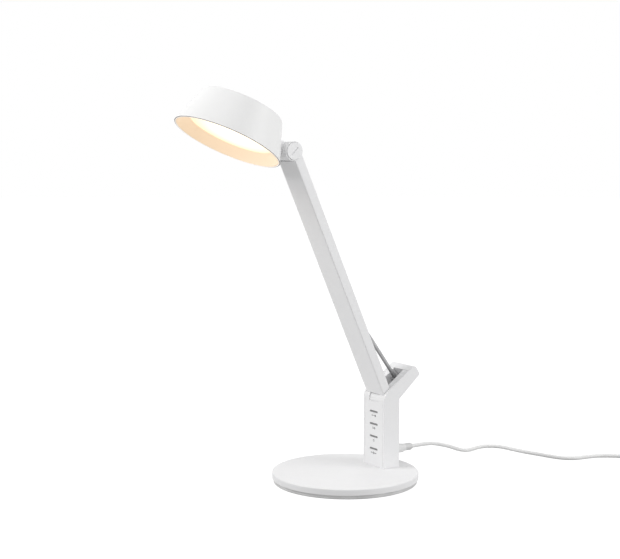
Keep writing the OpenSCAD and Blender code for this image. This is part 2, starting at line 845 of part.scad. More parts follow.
module reflector_ring() {
    lip_r = shade_in_r(ring_low) - fit;
    color(white) shade_frame() rotate_extrude($fn = 128) polygon([
        [diffuser_r, diffuser_depth], [diffuser_r, diffuser_depth - ring_edge], [lip_r - ring_lip_t, ring_low],
        [lip_r, ring_low], [shade_in_r(ring_low + ring_lip) - fit, ring_low + ring_lip],
        [diffuser_r + ring_lap, diffuser_depth]
    ]);
}

module diffuser() {
    color([1, 0.98, 0.9]) shade_frame() translate([0, 0, diffuser_depth])
        cylinder(r = diffuser_r + diffuser_lap, h = diffuser_t, $fn = 128);
}

module led_board() {
    color([0.95, 0.95, 0.93]) shade_frame() difference() {
        union() {
            translate([0, 0, board_z]) cylinder(r = led_r, h = board_t, $fn = 96);
            for (i = [0 : led_n - 1]) rotate((i + 0.5) * 360 / led_n)
                translate([led_ring_r, 0, board_z + (fit - led_size[2]) / 2]) cube(led_size, center = true);
        }
        at_head_screws() translate([0, 0, board_z - cut]) cylinder(r = screw_r + fit, h = board_t + 2 * cut);
    }
}

module heat_plate() {
    color(zinc) shade_frame() difference() {
        translate([0, 0, board_z + board_t]) cylinder(r = led_r, h = heat_t, $fn = 96);
        at_head_screws() translate([0, 0, board_z]) cylinder(r = screw_r + fit, h = board_t + heat_t + cut);
    }
}

module head_screws() {
    color(zinc) shade_frame() at_head_screws() translate([0, 0, board_z - screw_head_h])
        screw(screw_head_h + board_t + heat_t + head_screw_hold);
}

// Cord and plugs
module usb_plug_body() {
    color(pale) translate([0, plug_y0, socket_z]) rotate([-90, 0, 0]) {
        hull() {
            linear_extrude(plug_grip) round_rect(plug_w, plug_h, plug_r, $fn = 24);
            translate([0, 0, plug_grip + plug_taper - cut]) cylinder(r = relief_r, h = cut, $fn = 24);
        }
        translate([0, 0, plug_grip + plug_taper / 2])
            cylinder(r1 = relief_r, r2 = relief_end_r, h = plug_len - plug_grip - plug_taper / 2);
    }
}

module usb_plug_shell() {
    color(zinc) translate([0, plug_y0, socket_z]) rotate([90, 0, 0]) linear_extrude(usb_len) usb_outline(0);
}

// Points on a smooth curve through p, in two steps to each stretch
function spline_point(a, b, c, d, t) = 0.5 * (2 * b + (c - a) * t + (2 * a - 5 * b + 4 * c - d) * t * t
    + (3 * b - a - 3 * c + d) * t * t * t);
function smooth(p) = let (m = len(p) - 1)
    [for (i = [0 : m - 1], t = [0, 0.5]) spline_point(p[max(i - 1, 0)], p[i], p[i + 1], p[min(i + 2, m)], t)];

// Length of a chain of points
function chain(p) = [for (i = [1 : len(p) - 1]) norm(p[i] - p[i - 1])] * [for (i = [1 : len(p) - 1]) 1];

// Tube of s sides along the points p, with closed ends
module tube(p, r, s) {
    n = len(p);
    dir = [for (i = [0 : n - 1]) let (v = p[min(i + 1, n - 1)] - p[max(i - 1, 0)]) v / norm(v)];
    side = [for (v = dir) let (w = cross(v, [0, 0, 1])) w / norm(w)];
    up = [for (i = [0 : n - 1]) cross(side[i], dir[i])];
    points = [for (i = [0 : n - 1], k = [0 : s - 1])
        p[i] + r * (cos(360 * k / s) * up[i] + sin(360 * k / s) * side[i])];
    walls = [for (i = [0 : n - 2], k = [0 : s - 1], h = [0, 1]) let (
        a = i * s + k, b = i * s + (k + 1) % s, c = a + s, d = b + s) h == 0 ? [a, b, d] : [a, d, c]];
    ends = [for (k = [1 : s - 2], h = [0, 1]) h == 0 ? [0, k + 1, k]
        : [(n - 1) * s, (n - 1) * s + k, (n - 1) * s + k + 1]];
    polyhedron(points, concat(walls, ends));
}

// The first and the last stretch stay straight
smooth_points = smooth([for (i = [1 : len(route) - 1]) route[i]]);
run_points = concat([route[0]], [for (i = [0 : len(smooth_points) - 2]) smooth_points[i]], [route_end]);

// The coil spirals in, climbs a layer in half a turn, spirals out again and ends in a straight tail
coil_loops = [for (i = [0 : 2 * coil_turns * loop_steps + loop_steps / 2]) let (
    t = i / loop_steps,
    climb = min(max((t - coil_turns) * 2, 0), 1),
    turn_in = min(t, coil_turns),
    turn_out = max(t - coil_turns - 0.5, 0),
    r = coil_out_r - coil_pitch * turn_in + coil_pitch * turn_out,
    a = -90 + 360 * t)
    [coil_c[0] + r * cos(a), coil_c[1] + r * sin(a), coil_z + climb * coil_pitch]];
tail_start = coil_loops[len(coil_loops) - 1];
tail_drop = tail_start[2] - plug_a_h / 2;
tail_len = 24;
tail = [
    tail_start - [tail_len / 3, 0, 0.04 * tail_drop], tail_start - [tail_len * 2 / 3, 0, 0.55 * tail_drop],
    tail_start - [tail_len, 0, tail_drop], tail_start - [tail_len + cord_d, 0, tail_drop]
];
coil_points = concat([route_end], coil_loops, tail);
cord_total = chain(run_points) + chain(coil_points);
// Nearest approach of the coil to itself, past its own next half turn
coil_gap = min([for (i = [0 : len(coil_points) - 1], j = [i + loop_steps / 2 : len(coil_points) - 1])
    norm(coil_points[i] - coil_points[j])]) - cord_d;
// Least radius of the circles through three neighbouring points of the free stretch
least_bend = min([for (i = [1 : len(run_points) - 2])
    let (a = run_points[i] - run_points[i - 1], b = run_points[i + 1] - run_points[i])
    norm(a) * norm(b) * norm(a + b) / (2 * norm(cross(a, b)))]);
echo(cord_length_mm = cord_total, coil_gap_mm = coil_gap, least_bend_mm = least_bend);

module cord_run() {
    color(white) tube(run_points, cord_r, 8);
}

module cord_coil() {
    color(white) tube(coil_points, cord_r, 6);
}

// Strap round all the turns, on the coil's +X side
module cord_tie() {
    in_r = sqrt(pow(coil_in_r - cord_r, 2) - pow(tie_w / 2, 2)) - gap;
    wide = coil_out_r + cord_r + gap - in_r;
    tall = coil_pitch + cord_d + gap;
    color(dark) translate([coil_c[0] + in_r + wide / 2, coil_c[1], coil_z - cord_r + tall / 2 - gap / 2])
        rotate([90, 0, 0]) linear_extrude(tie_w, center = true) difference() {
            round_rect(wide + 2 * tie_t, tall + 2 * tie_t, tie_r);
            round_rect(wide, tall, tie_r - tie_t);
        }
}

plug_a = tail[len(tail) - 1];

module usb_a_body() {
    color(pale) translate(plug_a) rotate([0, -90, 0]) {
        hull() {
            cylinder(r = relief_end_r, h = cut, $fn = 24);
            translate([0, 0, plug_a_neck]) linear_extrude(plug_a_grip)
                round_rect(plug_a_h, plug_a_w, plug_a_r, $fn = 24);
        }
    }
}

module usb_a_shell() {
    color(zinc) translate(plug_a - [plug_a_len, 0, 0]) rotate([0, -90, 0]) difference() {
        linear_extrude(usb_a_len) square([usb_a_h, usb_a_w], center = true);
        translate([usb_a_h / 2 - usb_a_wall - usb_a_mouth / 2, 0, usb_a_floor]) linear_extrude(usb_a_len)
            square([usb_a_mouth, usb_a_w - 2 * usb_a_wall], center = true);
    }
}

foot_pad();
base_plate();
ballast_plate();
base_cover();
base_screws();
post_housing();
hinge_frame();
key_bars();
touch_board();
control_board();
usb_socket();
post_screws();
pivot_pin();
pivot_washers();
strut_pin();
usb_plug_body();
usb_plug_shell();
cord_run();
cord_coil();
cord_tie();
usb_a_body();
usb_a_shell();
arm_shell();
arm_rear_cover();
arm_lug();
lug_screws();
spring_anchor();
balance_spring();
lead_wire();
knuckle_pin();
tension_screw();
tension_nut();
knuckle_washers();
slider_carriage();
strut_rod();
strut_cross_pin();
head_knuckle();
neck_screws();
shade_shell();
reflector_ring();
diffuser();
led_board();
heat_plate();
head_screws();
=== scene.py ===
"""LED desk lamp: the finish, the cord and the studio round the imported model."""
import json
import math

import bmesh
import bpy
from bpy.props import FloatProperty, FloatVectorProperty, IntProperty, PointerProperty
from mathutils import Matrix, Vector


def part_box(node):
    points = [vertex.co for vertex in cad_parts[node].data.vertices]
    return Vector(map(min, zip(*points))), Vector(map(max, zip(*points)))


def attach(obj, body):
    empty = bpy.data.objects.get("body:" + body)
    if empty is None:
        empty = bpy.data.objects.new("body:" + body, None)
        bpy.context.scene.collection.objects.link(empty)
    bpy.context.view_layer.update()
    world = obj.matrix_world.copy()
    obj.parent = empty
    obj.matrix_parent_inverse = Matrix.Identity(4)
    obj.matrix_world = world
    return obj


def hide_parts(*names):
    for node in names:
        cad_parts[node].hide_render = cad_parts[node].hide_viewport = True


bl_info = {
    "name": "LED desk lamp",
    "version": (1, 0, 0),
    "blender": (4, 5, 0),
    "location": "3D View > Sidebar > Lamp",
    "description": "Finishes the desk lamp's plastics, steel, light and textile cord, and sets its studio",
    "category": "Object",
}

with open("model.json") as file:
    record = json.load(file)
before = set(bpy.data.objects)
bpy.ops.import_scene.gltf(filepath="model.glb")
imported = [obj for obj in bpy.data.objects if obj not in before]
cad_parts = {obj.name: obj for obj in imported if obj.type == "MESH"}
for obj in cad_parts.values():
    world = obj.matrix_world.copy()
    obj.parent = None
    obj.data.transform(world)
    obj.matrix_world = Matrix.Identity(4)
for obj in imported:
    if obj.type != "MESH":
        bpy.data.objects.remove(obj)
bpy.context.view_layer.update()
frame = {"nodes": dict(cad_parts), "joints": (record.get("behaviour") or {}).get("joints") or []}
NODES = frame["nodes"]

# Places in metres, from the frame
FOOT_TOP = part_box("foot_pad")[1][2]
COVER_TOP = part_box("base_cover")[1][2]
COVER_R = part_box("base_cover")[1][0]
POST_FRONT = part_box("post_housing")[0][1]
PIVOTS = {joint["name"]: Vector(joint["pos_m"]) for joint in frame["joints"]}
HEAD_PIVOT = PIVOTS["head_tilt"]
# How far the head is tilted, and the middle of the shade's rim from the head's pivot, as in the CAD source
HEAD_TILT = math.radians(26.5)
SHADE_MIDDLE = Vector((0, -0.0622, -0.022))

# Keys: height of the top one, the step down to the next, their number, and how far a symbol is below its key
KEY_TOP, KEY_PITCH, KEY_COUNT, MARK_DROP = 0.0677, 0.0131, 4, 0.0043
# Print: how far it stands out of the post's front, and how far it reaches in
INK_PROUD, INK_DEEP = 0.00002, 0.00005
# Start and end of a round print in degrees, just short of a full turn so that its outline stays open
ALL_ROUND = (0, 359)
# Printed symbols in millimetres, from the top key down:
# ("bar", x, z, width, height) or ("arc", x, z, inner radius, outer radius, start, end)
KEY_MARKS = (
    (("arc", -2.9, 0, 0, 0.7, *ALL_ROUND), ("bar", -0.4, 0, 2.6, 0.5), ("arc", 2.5, 0, 0, 1.1, *ALL_ROUND)),
    (("arc", -1.3, 0, 0.7, 1.15, *ALL_ROUND), ("arc", 1.5, 0, 0, 1.15, 90, 270),
     ("arc", 1.5, 0, 0.7, 1.15, -90, 90)),
    (("arc", 0, 0, 0.9, 1.3, *ALL_ROUND), ("bar", 0, 0.35, 0.35, 0.8), ("bar", 0.35, 0, 0.8, 0.35)),
    (("arc", 0, -0.1, 0.6, 1.35, 125, 415), ("bar", 0, 0.8, 0.5, 1.3), ("bar", -3.3, 0, 2.9, 0.8),
     ("bar", 3.3, 0, 2.9, 0.8)))

# Shade: radius at its rim and at its top, height, and thickness of its wall and its top
RIM_R, TOP_R, SHADE_H, SHADE_WALL, SHADE_TOP = 0.0538, 0.0405, 0.0385, 0.0015, 0.0018
# Diffuser: the radius that shows, its depth behind the rim, and the middle of its light in the shade's frame
DISC_R, DISC_DEEP = 0.0415, 0.010
LIGHT_MIDDLE = Vector((0, 0.004, DISC_DEEP))
# The rest of the disc: the border under the ring, and its thickness
DISC_BORDER, DISC_THICK = 0.0024, 0.002
# Rim: how far the band of painted shade reaches in, how far the lacquer and the band stay behind the rim's
# plane, and the lip's bevel
BAND_REACH, LACQUER_LOW, BAND_LOW, LIP_BEVEL = 0.0009, 0.0003, 0.0002, 0.0001
# Light ring: how far it stays behind the rim, its gap to the wall, its thickness at the disc, the width and
# the height of its outer edge, and the width of its seat on the disc
RING_LOW, RING_GAP, RING_EDGE, RING_RIM, RING_WALL, RING_SEAT = 0.0004, 0.0001, 0.0006, 0.001, 0.0016, 0.0018

# Grip collar on the plug at the post: its place, radius, length, rounding, bevel and two holes
COLLAR_AT = Vector((0, 0.0757, 0.025))
COLLAR_R, COLLAR_LONG, COLLAR_EDGE, COLLAR_BEVEL = 0.0038, 0.0087, 0.0009, 0.0002
PLUG_HOLE_R, CORD_HOLE_R = 0.0025, 0.00205

# Edge radius of the plugs' metal and the tie, and of the strut
THIN_EDGE, STRUT_EDGE = 0.0001, 0.0002
# Degrees between two faces of a CAD node: above the first their edge is rounded, below the second they join
ROUNDED_FROM, FLAT_BELOW = 28, 0.3
# Edges sharper than this many degrees stay sharp in the shading
SHARP_FROM = 32
# Faces round a large turned piece
TURN_STEPS = 160


def head_place():
    """Frame of the shade: its origin in the middle of the open rim, its z along the shade's axis."""
    tilt = Matrix.Rotation(-HEAD_TILT, 4, "X")
    return Matrix.Translation(HEAD_PIVOT) @ tilt @ Matrix.Translation(SHADE_MIDDLE)


class LampFinishes(bpy.types.PropertyGroup):
    """Colours and roughness of the lamp's plastics, metals and textile"""
    white: FloatVectorProperty(
        name="Lamp white", description="Moulded plastic of base, post and arm",
        subtype="COLOR", size=3, min=0, max=1, default=(0.80, 0.80, 0.807))
    shade_white: FloatVectorProperty(
        name="Shade white", description="Lacquer on the shade",
        subtype="COLOR", size=3, min=0, max=1, default=(0.805, 0.805, 0.802))
    foot: FloatVectorProperty(
        name="Foot grey", description="Rubber foot under the base",
        subtype="COLOR", size=3, min=0, max=1, default=(0.63, 0.63, 0.63))
    bars: FloatVectorProperty(
        name="Key bars", description="Smoked plastic of the four key bars",
        subtype="COLOR", size=3, min=0, max=1, default=(0.21, 0.21, 0.213))
    marks: FloatVectorProperty(
        name="Key marks", description="Printed symbols under the key bars",
        subtype="COLOR", size=3, min=0, max=1, default=(0.15, 0.15, 0.153))
    steel: FloatVectorProperty(
        name="Strut steel", description="Steel of the strut and the pins",
        subtype="COLOR", size=3, min=0, max=1, default=(0.33, 0.33, 0.335))
    cord: FloatVectorProperty(
        name="Cord yarn", description="Braided yarn over the cord",
        subtype="COLOR", size=3, min=0, max=1, default=(0.885, 0.885, 0.882))
    plug: FloatVectorProperty(
        name="Plug white", description="Moulded plastic of the plugs",
        subtype="COLOR", size=3, min=0, max=1, default=(0.71, 0.71, 0.708))
    light: FloatVectorProperty(
        name="Lamp light", description="Colour of the light through the diffuser",
        subtype="COLOR", size=3, min=0, max=1, default=(1.0, 0.80, 0.55))
    # The ring's tone is painted warm light on a white reflector, and its strength is a painted glow
    ring: FloatVectorProperty(
        name="Ring tone", description="Reflector ring, warmed by the light that it scatters",
        subtype="COLOR", size=3, min=0, max=1, default=(0.68, 0.57, 0.45))
    ring_painted_glow: FloatProperty(
        name="Ring strength", description="Light that the ring scatters", min=0, default=0.44)
    # The rim band's warm grey is painted shade on the rim's lower outer edge
    band: FloatVectorProperty(
        name="Rim shade band", description="Warm grey line round the shade's rim",
        subtype="COLOR", size=3, min=0, max=1, default=(0.31, 0.27, 0.255))
    light_strength: FloatProperty(
        name="Lamp strength", description="Strength of the light through the diffuser", min=0, default=2.3)
    plastic_roughness: FloatProperty(
        name="Plastic roughness", description="Mean roughness of the lamp's white plastic",
        subtype="FACTOR", min=0, max=1, default=0.46)


class LampSizes(bpy.types.PropertyGroup):
    """Sizes of the edges, the rim's band of painted shade, the keys and the cord"""
    post_edge: FloatProperty(
        name="Post edge", description="Radius of the post's edges",
        unit="LENGTH", min=0, default=0.0012)
    arm_edge: FloatProperty(
        name="Arm edge", description="Radius of the arm's edges",
        unit="LENGTH", min=0, default=0.0005)
    small_edge: FloatProperty(
        name="Small edge", description="Radius of the edges of small pieces",
        unit="LENGTH", min=0, default=0.00025)
    cover_edge: FloatProperty(
        name="Base edge", description="Radius of the base cover's top edge",
        unit="LENGTH", min=0, default=0.0014)
    foot_inset: FloatProperty(
        name="Foot inset", description="How far the foot's edge stands back from the cover",
        unit="LENGTH", min=0, default=0.0014)
    shade_edge: FloatProperty(
        name="Shade edge", description="Radius of the shade's top edge",
        unit="LENGTH", min=0, default=0.0008)
    band_height: FloatProperty(
        name="Rim shade band height", description="Height of the grey band on the rim",
        unit="LENGTH", min=0, default=0.0006)
    bar_width: FloatProperty(
        name="Key width", description="Width of a key's bar",
        unit="LENGTH", min=0.001, default=0.0134)
    bar_height: FloatProperty(
        name="Key height", description="Height of a key's bar",
        unit="LENGTH", min=0.0005, default=0.0015)
    cord_diameter: FloatProperty(
        name="Cord diameter", description="Diameter of the braided cord",
        unit="LENGTH", min=0.001, default=0.004)
    cord_length: FloatProperty(
        name="Cord length", description="Length of the cord from plug to plug",
        unit="LENGTH", min=0.1, default=1.5)
    cord_sides: IntProperty(
        name="Cord sides", description="Faces around the cord", min=8, max=32, default=16)


class LampStudio(bpy.types.PropertyGroup):
    """Camera, lamps and the light of the room"""
    lens: FloatProperty(
        name="Lens", description="Focal length of the camera",
        unit="CAMERA", min=1, default=75)
    camera_at: FloatVectorProperty(
        name="Camera", description="Place of the camera",
        unit="LENGTH", size=3, default=(1.0638, -0.7449, 0.3371))
    camera_turn: FloatVectorProperty(
        name="Camera turn", description="Turn of the camera", subtype="EULER", size=3,
        default=(math.radians(84.28), 0, math.radians(56.59)))
    world: FloatProperty(
        name="World light", description="Light of the plain white room", min=0, default=0.60)
    top_light: FloatProperty(
        name="Top light", description="Power of the wide lamp overhead",
        unit="POWER", min=0, default=5)
    side_light: FloatProperty(
        name="Side light", description="Power of the lamp on the right",
        unit="POWER", min=0, default=18.2)
    front_light: FloatProperty(
        name="Front light", description="Power of the lamp high in front",
        unit="POWER", min=0, default=17.2)


# Meshes

def add_piece(name, mesh, material, body, nodes=()):
    """Links a mesh as a piece on a body; the piece takes the place of the named CAD nodes."""
    mesh.materials.clear()
    mesh.materials.append(material)
    piece = bpy.data.objects.new(name, mesh)
    bpy.context.scene.collection.objects.link(piece)
    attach(piece, body)
    if nodes:
        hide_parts(*nodes)
    return piece


def smooth(mesh):
    """Smooth shading that keeps sharp edges."""
    mesh.shade_smooth()
    mesh.set_sharp_from_angle(angle=math.radians(SHARP_FROM))


def even_normals(piece):
    """Shading that leaves flat faces flat beside rounded edges."""
    weighted = piece.modifiers.new("Even normals", "WEIGHTED_NORMAL")
    weighted.keep_sharp = True
    weighted.weight = 80


def from_bmesh(bm, name):
    mesh = bpy.data.meshes.new(name)
    bm.to_mesh(mesh)
    bm.free()
    return mesh


def soft_copy(node, radius, name):
    """Copy of a CAD node with its sharp edges rounded."""
    bm = bmesh.new()
    bm.from_mesh(NODES[node].data)
    bmesh.ops.remove_doubles(bm, verts=bm.verts, dist=1e-6)
    bmesh.ops.dissolve_limit(bm, angle_limit=math.radians(FLAT_BELOW), verts=bm.verts, edges=bm.edges)
    if radius:
        least = math.radians(ROUNDED_FROM)
        sharp = [e for e in bm.edges if len(e.link_faces) == 2 and e.calc_face_angle(0) > least]
        bmesh.ops.bevel(
            bm, geom=sharp, offset=radius, offset_type="OFFSET", segments=3, profile=0.5, affect="EDGES",
            clamp_overlap=True)
    mesh = from_bmesh(bm, name)
    smooth(mesh)
    return mesh


def finish_node(node, material, body, radius, name):
    """Adds a piece in the shape of a CAD node, with softened edges."""
    piece = add_piece(name, soft_copy(node, radius, name), material, body, (node,))
    even_normals(piece)
    return piece


def arc(middle, radius, start, end, steps):
    """Points on an arc, in degrees, both ends included."""
    turns = [math.radians(start + (end - start) * i / steps) for i in range(steps + 1)]
    return [(middle[0] + radius * math.cos(turn), middle[1] + radius * math.sin(turn)) for turn in turns]


def turned(profile, steps, place, name):
    """A closed profile of (radius, height) points, anticlockwise, turned about its z axis."""
    bm = bmesh.new()
    turns = [2 * math.pi * k / steps for k in range(steps)]
    rings = []
    for radius, height in profile:
        if radius:
            points = [(radius * math.cos(turn), radius * math.sin(turn), height) for turn in turns]
        else:
            points = [(0, 0, height)]
        rings.append([bm.verts.new(place @ Vector(point)) for point in points])
    count = len(rings)
    for i in range(count):
        low, high = rings[i], rings[(i + 1) % count]
        if len(low) == 1 and len(high) == 1:
            continue
        for k in range(steps):
            n = (k + 1) % steps
            if len(low) == 1:
                bm.faces.new((low[0], high[n], high[k]))
            elif len(high) == 1:
                bm.faces.new((low[k], low[n], high[0]))
            else:
                bm.faces.new((low[k], low[n], high[n], high[k]))
    mesh = from_bmesh(bm, name)
    smooth(mesh)
    return mesh


# Materials

class Finish:
    """A new material and short ways to add its nodes."""

    def __init__(self, name):
        self.material = bpy.data.materials.new(name)
        self.material.use_nodes = True
        self.tree = self.material.node_tree
        self.shader = self.tree.nodes["Principled BSDF"]
        self.place = self.tree.nodes.new("ShaderNodeTexCoord")

    def node(self, kind, links=None, **values):
        node = self.tree.nodes.new(kind)
        for key, value in values.items():
            setattr(node, key, value)
        for key, value in (links or {}).items():
            self.feed(node.inputs[key], value)
        return node

    def feed(self, socket, value):
        if isinstance(value, bpy.types.NodeSocket):
            self.tree.links.new(value, socket)
        else:
            socket.default_value = value

    def noise(self, scale, detail=2.0, at=None):
        return self.node("ShaderNodeTexNoise", {
            "Vector": at or self.place.outputs["Object"], "Scale": scale, "Detail": detail}).outputs["Fac"]

    def ranged(self, value, low, high, start=0.3, end=0.7):
        node = self.node("ShaderNodeMapRange", {
            "Value": value, "From Min": start, "From Max": end, "To Min": low, "To Max": high})
        return node.outputs["Result"]

    def worked_out(self, operation, *values):
        node = self.node("ShaderNodeMath", {i: v for i, v in enumerate(values)}, operation=operation)
        return node.outputs["Value"]

    def mixed(self, factor, low, high):
        node = self.node("ShaderNodeMix", data_type="RGBA")
        self.feed(node.inputs[0], factor)
        self.feed(node.inputs[6], (*low, 1))
        self.feed(node.inputs[7], (*high, 1))
        return node.outputs[2]

    def bump(self, height, strength, distance, under=None):
        links = {"Height": height, "Strength": strength, "Distance": distance}
        if under is not None:
            links["Normal"] = under
        return self.node("ShaderNodeBump", links).outputs["Normal"]

    def set(self, **sockets):
        for key, value in sockets.items():
            self.feed(self.shader.inputs[key.replace("_", " ")], value)
        return self.material


def scaled(colour, factor):
    """A colour made darker or lighter, up to full white."""
    return tuple(min(1.0, c * factor) for c in colour)


def moulded_plastic(name, colour, roughness, grain=1500, depth=0.000012):
    """Fine-grained matt plastic: the grain breaks the sheen, and the tone drifts a little."""
    finish = Finish(name)
    drift = finish.ranged(finish.noise(14, 3), 0, 1)
    fine = finish.noise(grain, 3)
    cloud = finish.noise(160, 2)
    return finish.set(
        Base_Color=finish.mixed(drift, scaled(colour, 0.985), scaled(colour, 1.01)),
        Roughness=finish.ranged(cloud, roughness - 0.05, roughness + 0.05),
        Normal=finish.bump(fine, 0.35, depth))


def rubber(name, colour):
    """Dull rubber with a coarse moulded grain and a little dust."""
    finish = Finish(name)
    dust = finish.ranged(finish.noise(45, 4), 0, 1, 0.35, 0.75)
    return finish.set(
        Base_Color=finish.mixed(dust, scaled(colour, 0.9), scaled(colour, 1.12)),
        Roughness=finish.ranged(finish.noise(500, 2), 0.72, 0.9),
        Normal=finish.bump(finish.noise(900, 4), 0.5, 0.00003))


def drawn_metal(name, colour, along, roughness=0.32):
    """Metal with fine drawing lines along the axes that are marked."""
    finish = Finish(name)
    length_scale, line_scale = 60, 3800
    stretched = finish.node("ShaderNodeMapping", {
        "Vector": finish.place.outputs["Object"],
        "Scale": tuple(length_scale if drawn else line_scale for drawn in along)})
    lines = finish.noise(1.0, 3, stretched.outputs["Vector"])
    return finish.set(
        Metallic=1.0,
        Base_Color=finish.mixed(finish.ranged(lines, 0, 1), scaled(colour, 0.86), scaled(colour, 1.1)),
        Roughness=finish.ranged(lines, roughness - 0.07, roughness + 0.09),
        Normal=finish.bump(lines, 0.25, 0.000008))


def smoked_plastic(name, colour):
    """Glossy smoked plastic of the key bars, slightly cloudy."""
    finish = Finish(name)
    cloud = finish.ranged(finish.noise(420, 2), 0, 1)
    return finish.set(
        Base_Color=finish.mixed(cloud, scaled(colour, 0.8), scaled(colour, 1.25)),
        Roughness=finish.ranged(finish.noise(900, 2), 0.2, 0.34),
        Normal=finish.bump(finish.noise(2200, 2), 0.2, 0.000004))


def printed_ink(name, colour):
    """Pad-printed ink, a little uneven."""
    finish = Finish(name)
    wear = finish.ranged(finish.noise(2500, 3), 0, 1)
    return finish.set(
        Base_Color=finish.mixed(wear, scaled(colour, 0.85), scaled(colour, 1.15)),
        Roughness=finish.ranged(wear, 0.5, 0.65),
        Normal=finish.bump(wear, 0.15, 0.000004))


def lit_diffuser(name, colour, strength, middle, radius):
    """Opal disc with the light behind it: white over the LEDs and yellower near its edge."""
    finish = Finish(name)
    # share of the light that the edge gives, and the parts of the radius between which it falls
    edge_share, bright_to, falls_to = 0.42, 0.1, 0.98
    reach = finish.node(
        "ShaderNodeVectorMath", {0: finish.place.outputs["Object"], 1: middle}, operation="DISTANCE")
    fall = finish.ranged(
        reach.outputs["Value"], strength, edge_share * strength, radius * bright_to, radius * falls_to)
    power = finish.worked_out("MULTIPLY", finish.ranged(finish.noise(30, 2), 0.97, 1.03), fall)
    finish.feed(finish.shader.inputs["Emission Strength"], power)
    return finish.set(
        Base_Color=(0.3, 0.28, 0.22, 1), Emission_Color=(*colour, 1),
        Roughness=finish.ranged(finish.noise(700, 2), 0.5, 0.6),
        Normal=finish.bump(finish.noise(1800, 2), 0.2, 0.00001))


def painted_glow_ring(name, colour, light, strength):
    """White reflector with painted warm light and a painted glow, paler and brighter towards the hinge."""
    finish = Finish(name)
    front, back = HEAD_PIVOT.y - 0.075, HEAD_PIVOT.y - 0.01
    # Painted light: a paler colour and a stronger glow towards the hinge
    painted_paleness, painted_brightening = 0.25, 1.12
    depth = finish.node("ShaderNodeSeparateXYZ", {0: finish.place.outputs["Object"]}).outputs["Y"]
    near = finish.ranged(depth, 0, 1, front, back)
    return finish.set(
        Base_Color=finish.mixed(near, colour, [c + painted_paleness * (1 - c) for c in colour]),
        Emission_Color=(*light, 1),
        Emission_Strength=finish.ranged(near, strength, strength * painted_brightening, 0, 1),
        Roughness=finish.ranged(finish.noise(160, 2), 0.58, 0.68),
        Normal=finish.bump(finish.noise(900, 3), 0.35, 0.00001))


def braided_yarn(name, colour):
    """Two sets of yarn that cross round the cord; the map runs along it in metres and once round it."""
    finish = Finish(name)
    pitch, yarns = 0.0024, 8
    parts = finish.node("ShaderNodeSeparateXYZ", {"Vector": finish.place.outputs["UV"]})
    along = finish.worked_out("MULTIPLY", parts.outputs["X"], 2 * math.pi / pitch)
    around = finish.worked_out("MULTIPLY", parts.outputs["Y"], 2 * math.pi * yarns)
    left = finish.worked_out("SINE", finish.worked_out("ADD", along, around))
    right = finish.worked_out("SINE", finish.worked_out("SUBTRACT", along, around))
    weave = finish.worked_out("ABSOLUTE", finish.worked_out("MULTIPLY", left, right))
    height = finish.worked_out("POWER", weave, 0.6)
    # The colour is darker in the gaps between the yarns: painted shade of the weave
    yarn_gap_shade = finish.ranged(height, 0, 1, 0.05, 0.6)
    fluff = finish.noise(6000, 2)
    return finish.set(
        Base_Color=finish.mixed(yarn_gap_shade, scaled(colour, 0.6), scaled(colour, 1.04)),
        Roughness=finish.ranged(fluff, 0.75, 0.95),
        Sheen_Weight=0.25,
        Normal=finish.bump(fluff, 0.25, 0.00003, finish.bump(height, 0.7, 0.00018)))


def circuit_board(name):
    """Green board with copper tracks under the lacquer."""
    finish = Finish(name)
    tracks = finish.node("ShaderNodeTexBrick", {
        "Vector": finish.place.outputs["Object"], "Scale": 210.0, "Mortar Size": 0.05,
        "Color1": (0.02, 0.10, 0.045, 1), "Color2": (0.03, 0.13, 0.06, 1), "Mortar": (0.10, 0.22, 0.10, 1)})
    return finish.set(
        Base_Color=tracks.outputs["Color"], Roughness=finish.ranged(finish.noise(300, 2), 0.25, 0.4),
        Normal=finish.bump(tracks.outputs["Fac"], 0.3, 0.00002))


# The base's white against the lamp's, darker as painted shade for the light on the base's top; the grip
# collar's against the plug's, and the pins' steel against the strut's
BASE_SHADED_PART, GRIP_PART, PIN_PART = 0.955, 0.86, 1.8
# Painted light: the warm glow on the reflector, and the rim lip's tone, its pale painted glow and that glow's
# strength
RING_PAINTED_GLOW = (1.0, 0.72, 0.45)
LIP_TONE, LIP_PAINTED_GLOW, LIP_PAINTED_STRENGTH = (0.8, 0.79, 0.77), (1.0, 0.96, 0.88), 0.42
# Tones of the pieces that are hidden or nearly so
DARK_TONE, TIE_TONE = (0.06, 0.06, 0.062), (0.05, 0.05, 0.05)
ZINC_TONE, ALUMINIUM_TONE = (0.55, 0.55, 0.57), (0.72, 0.72, 0.73)

FINISHES = {}


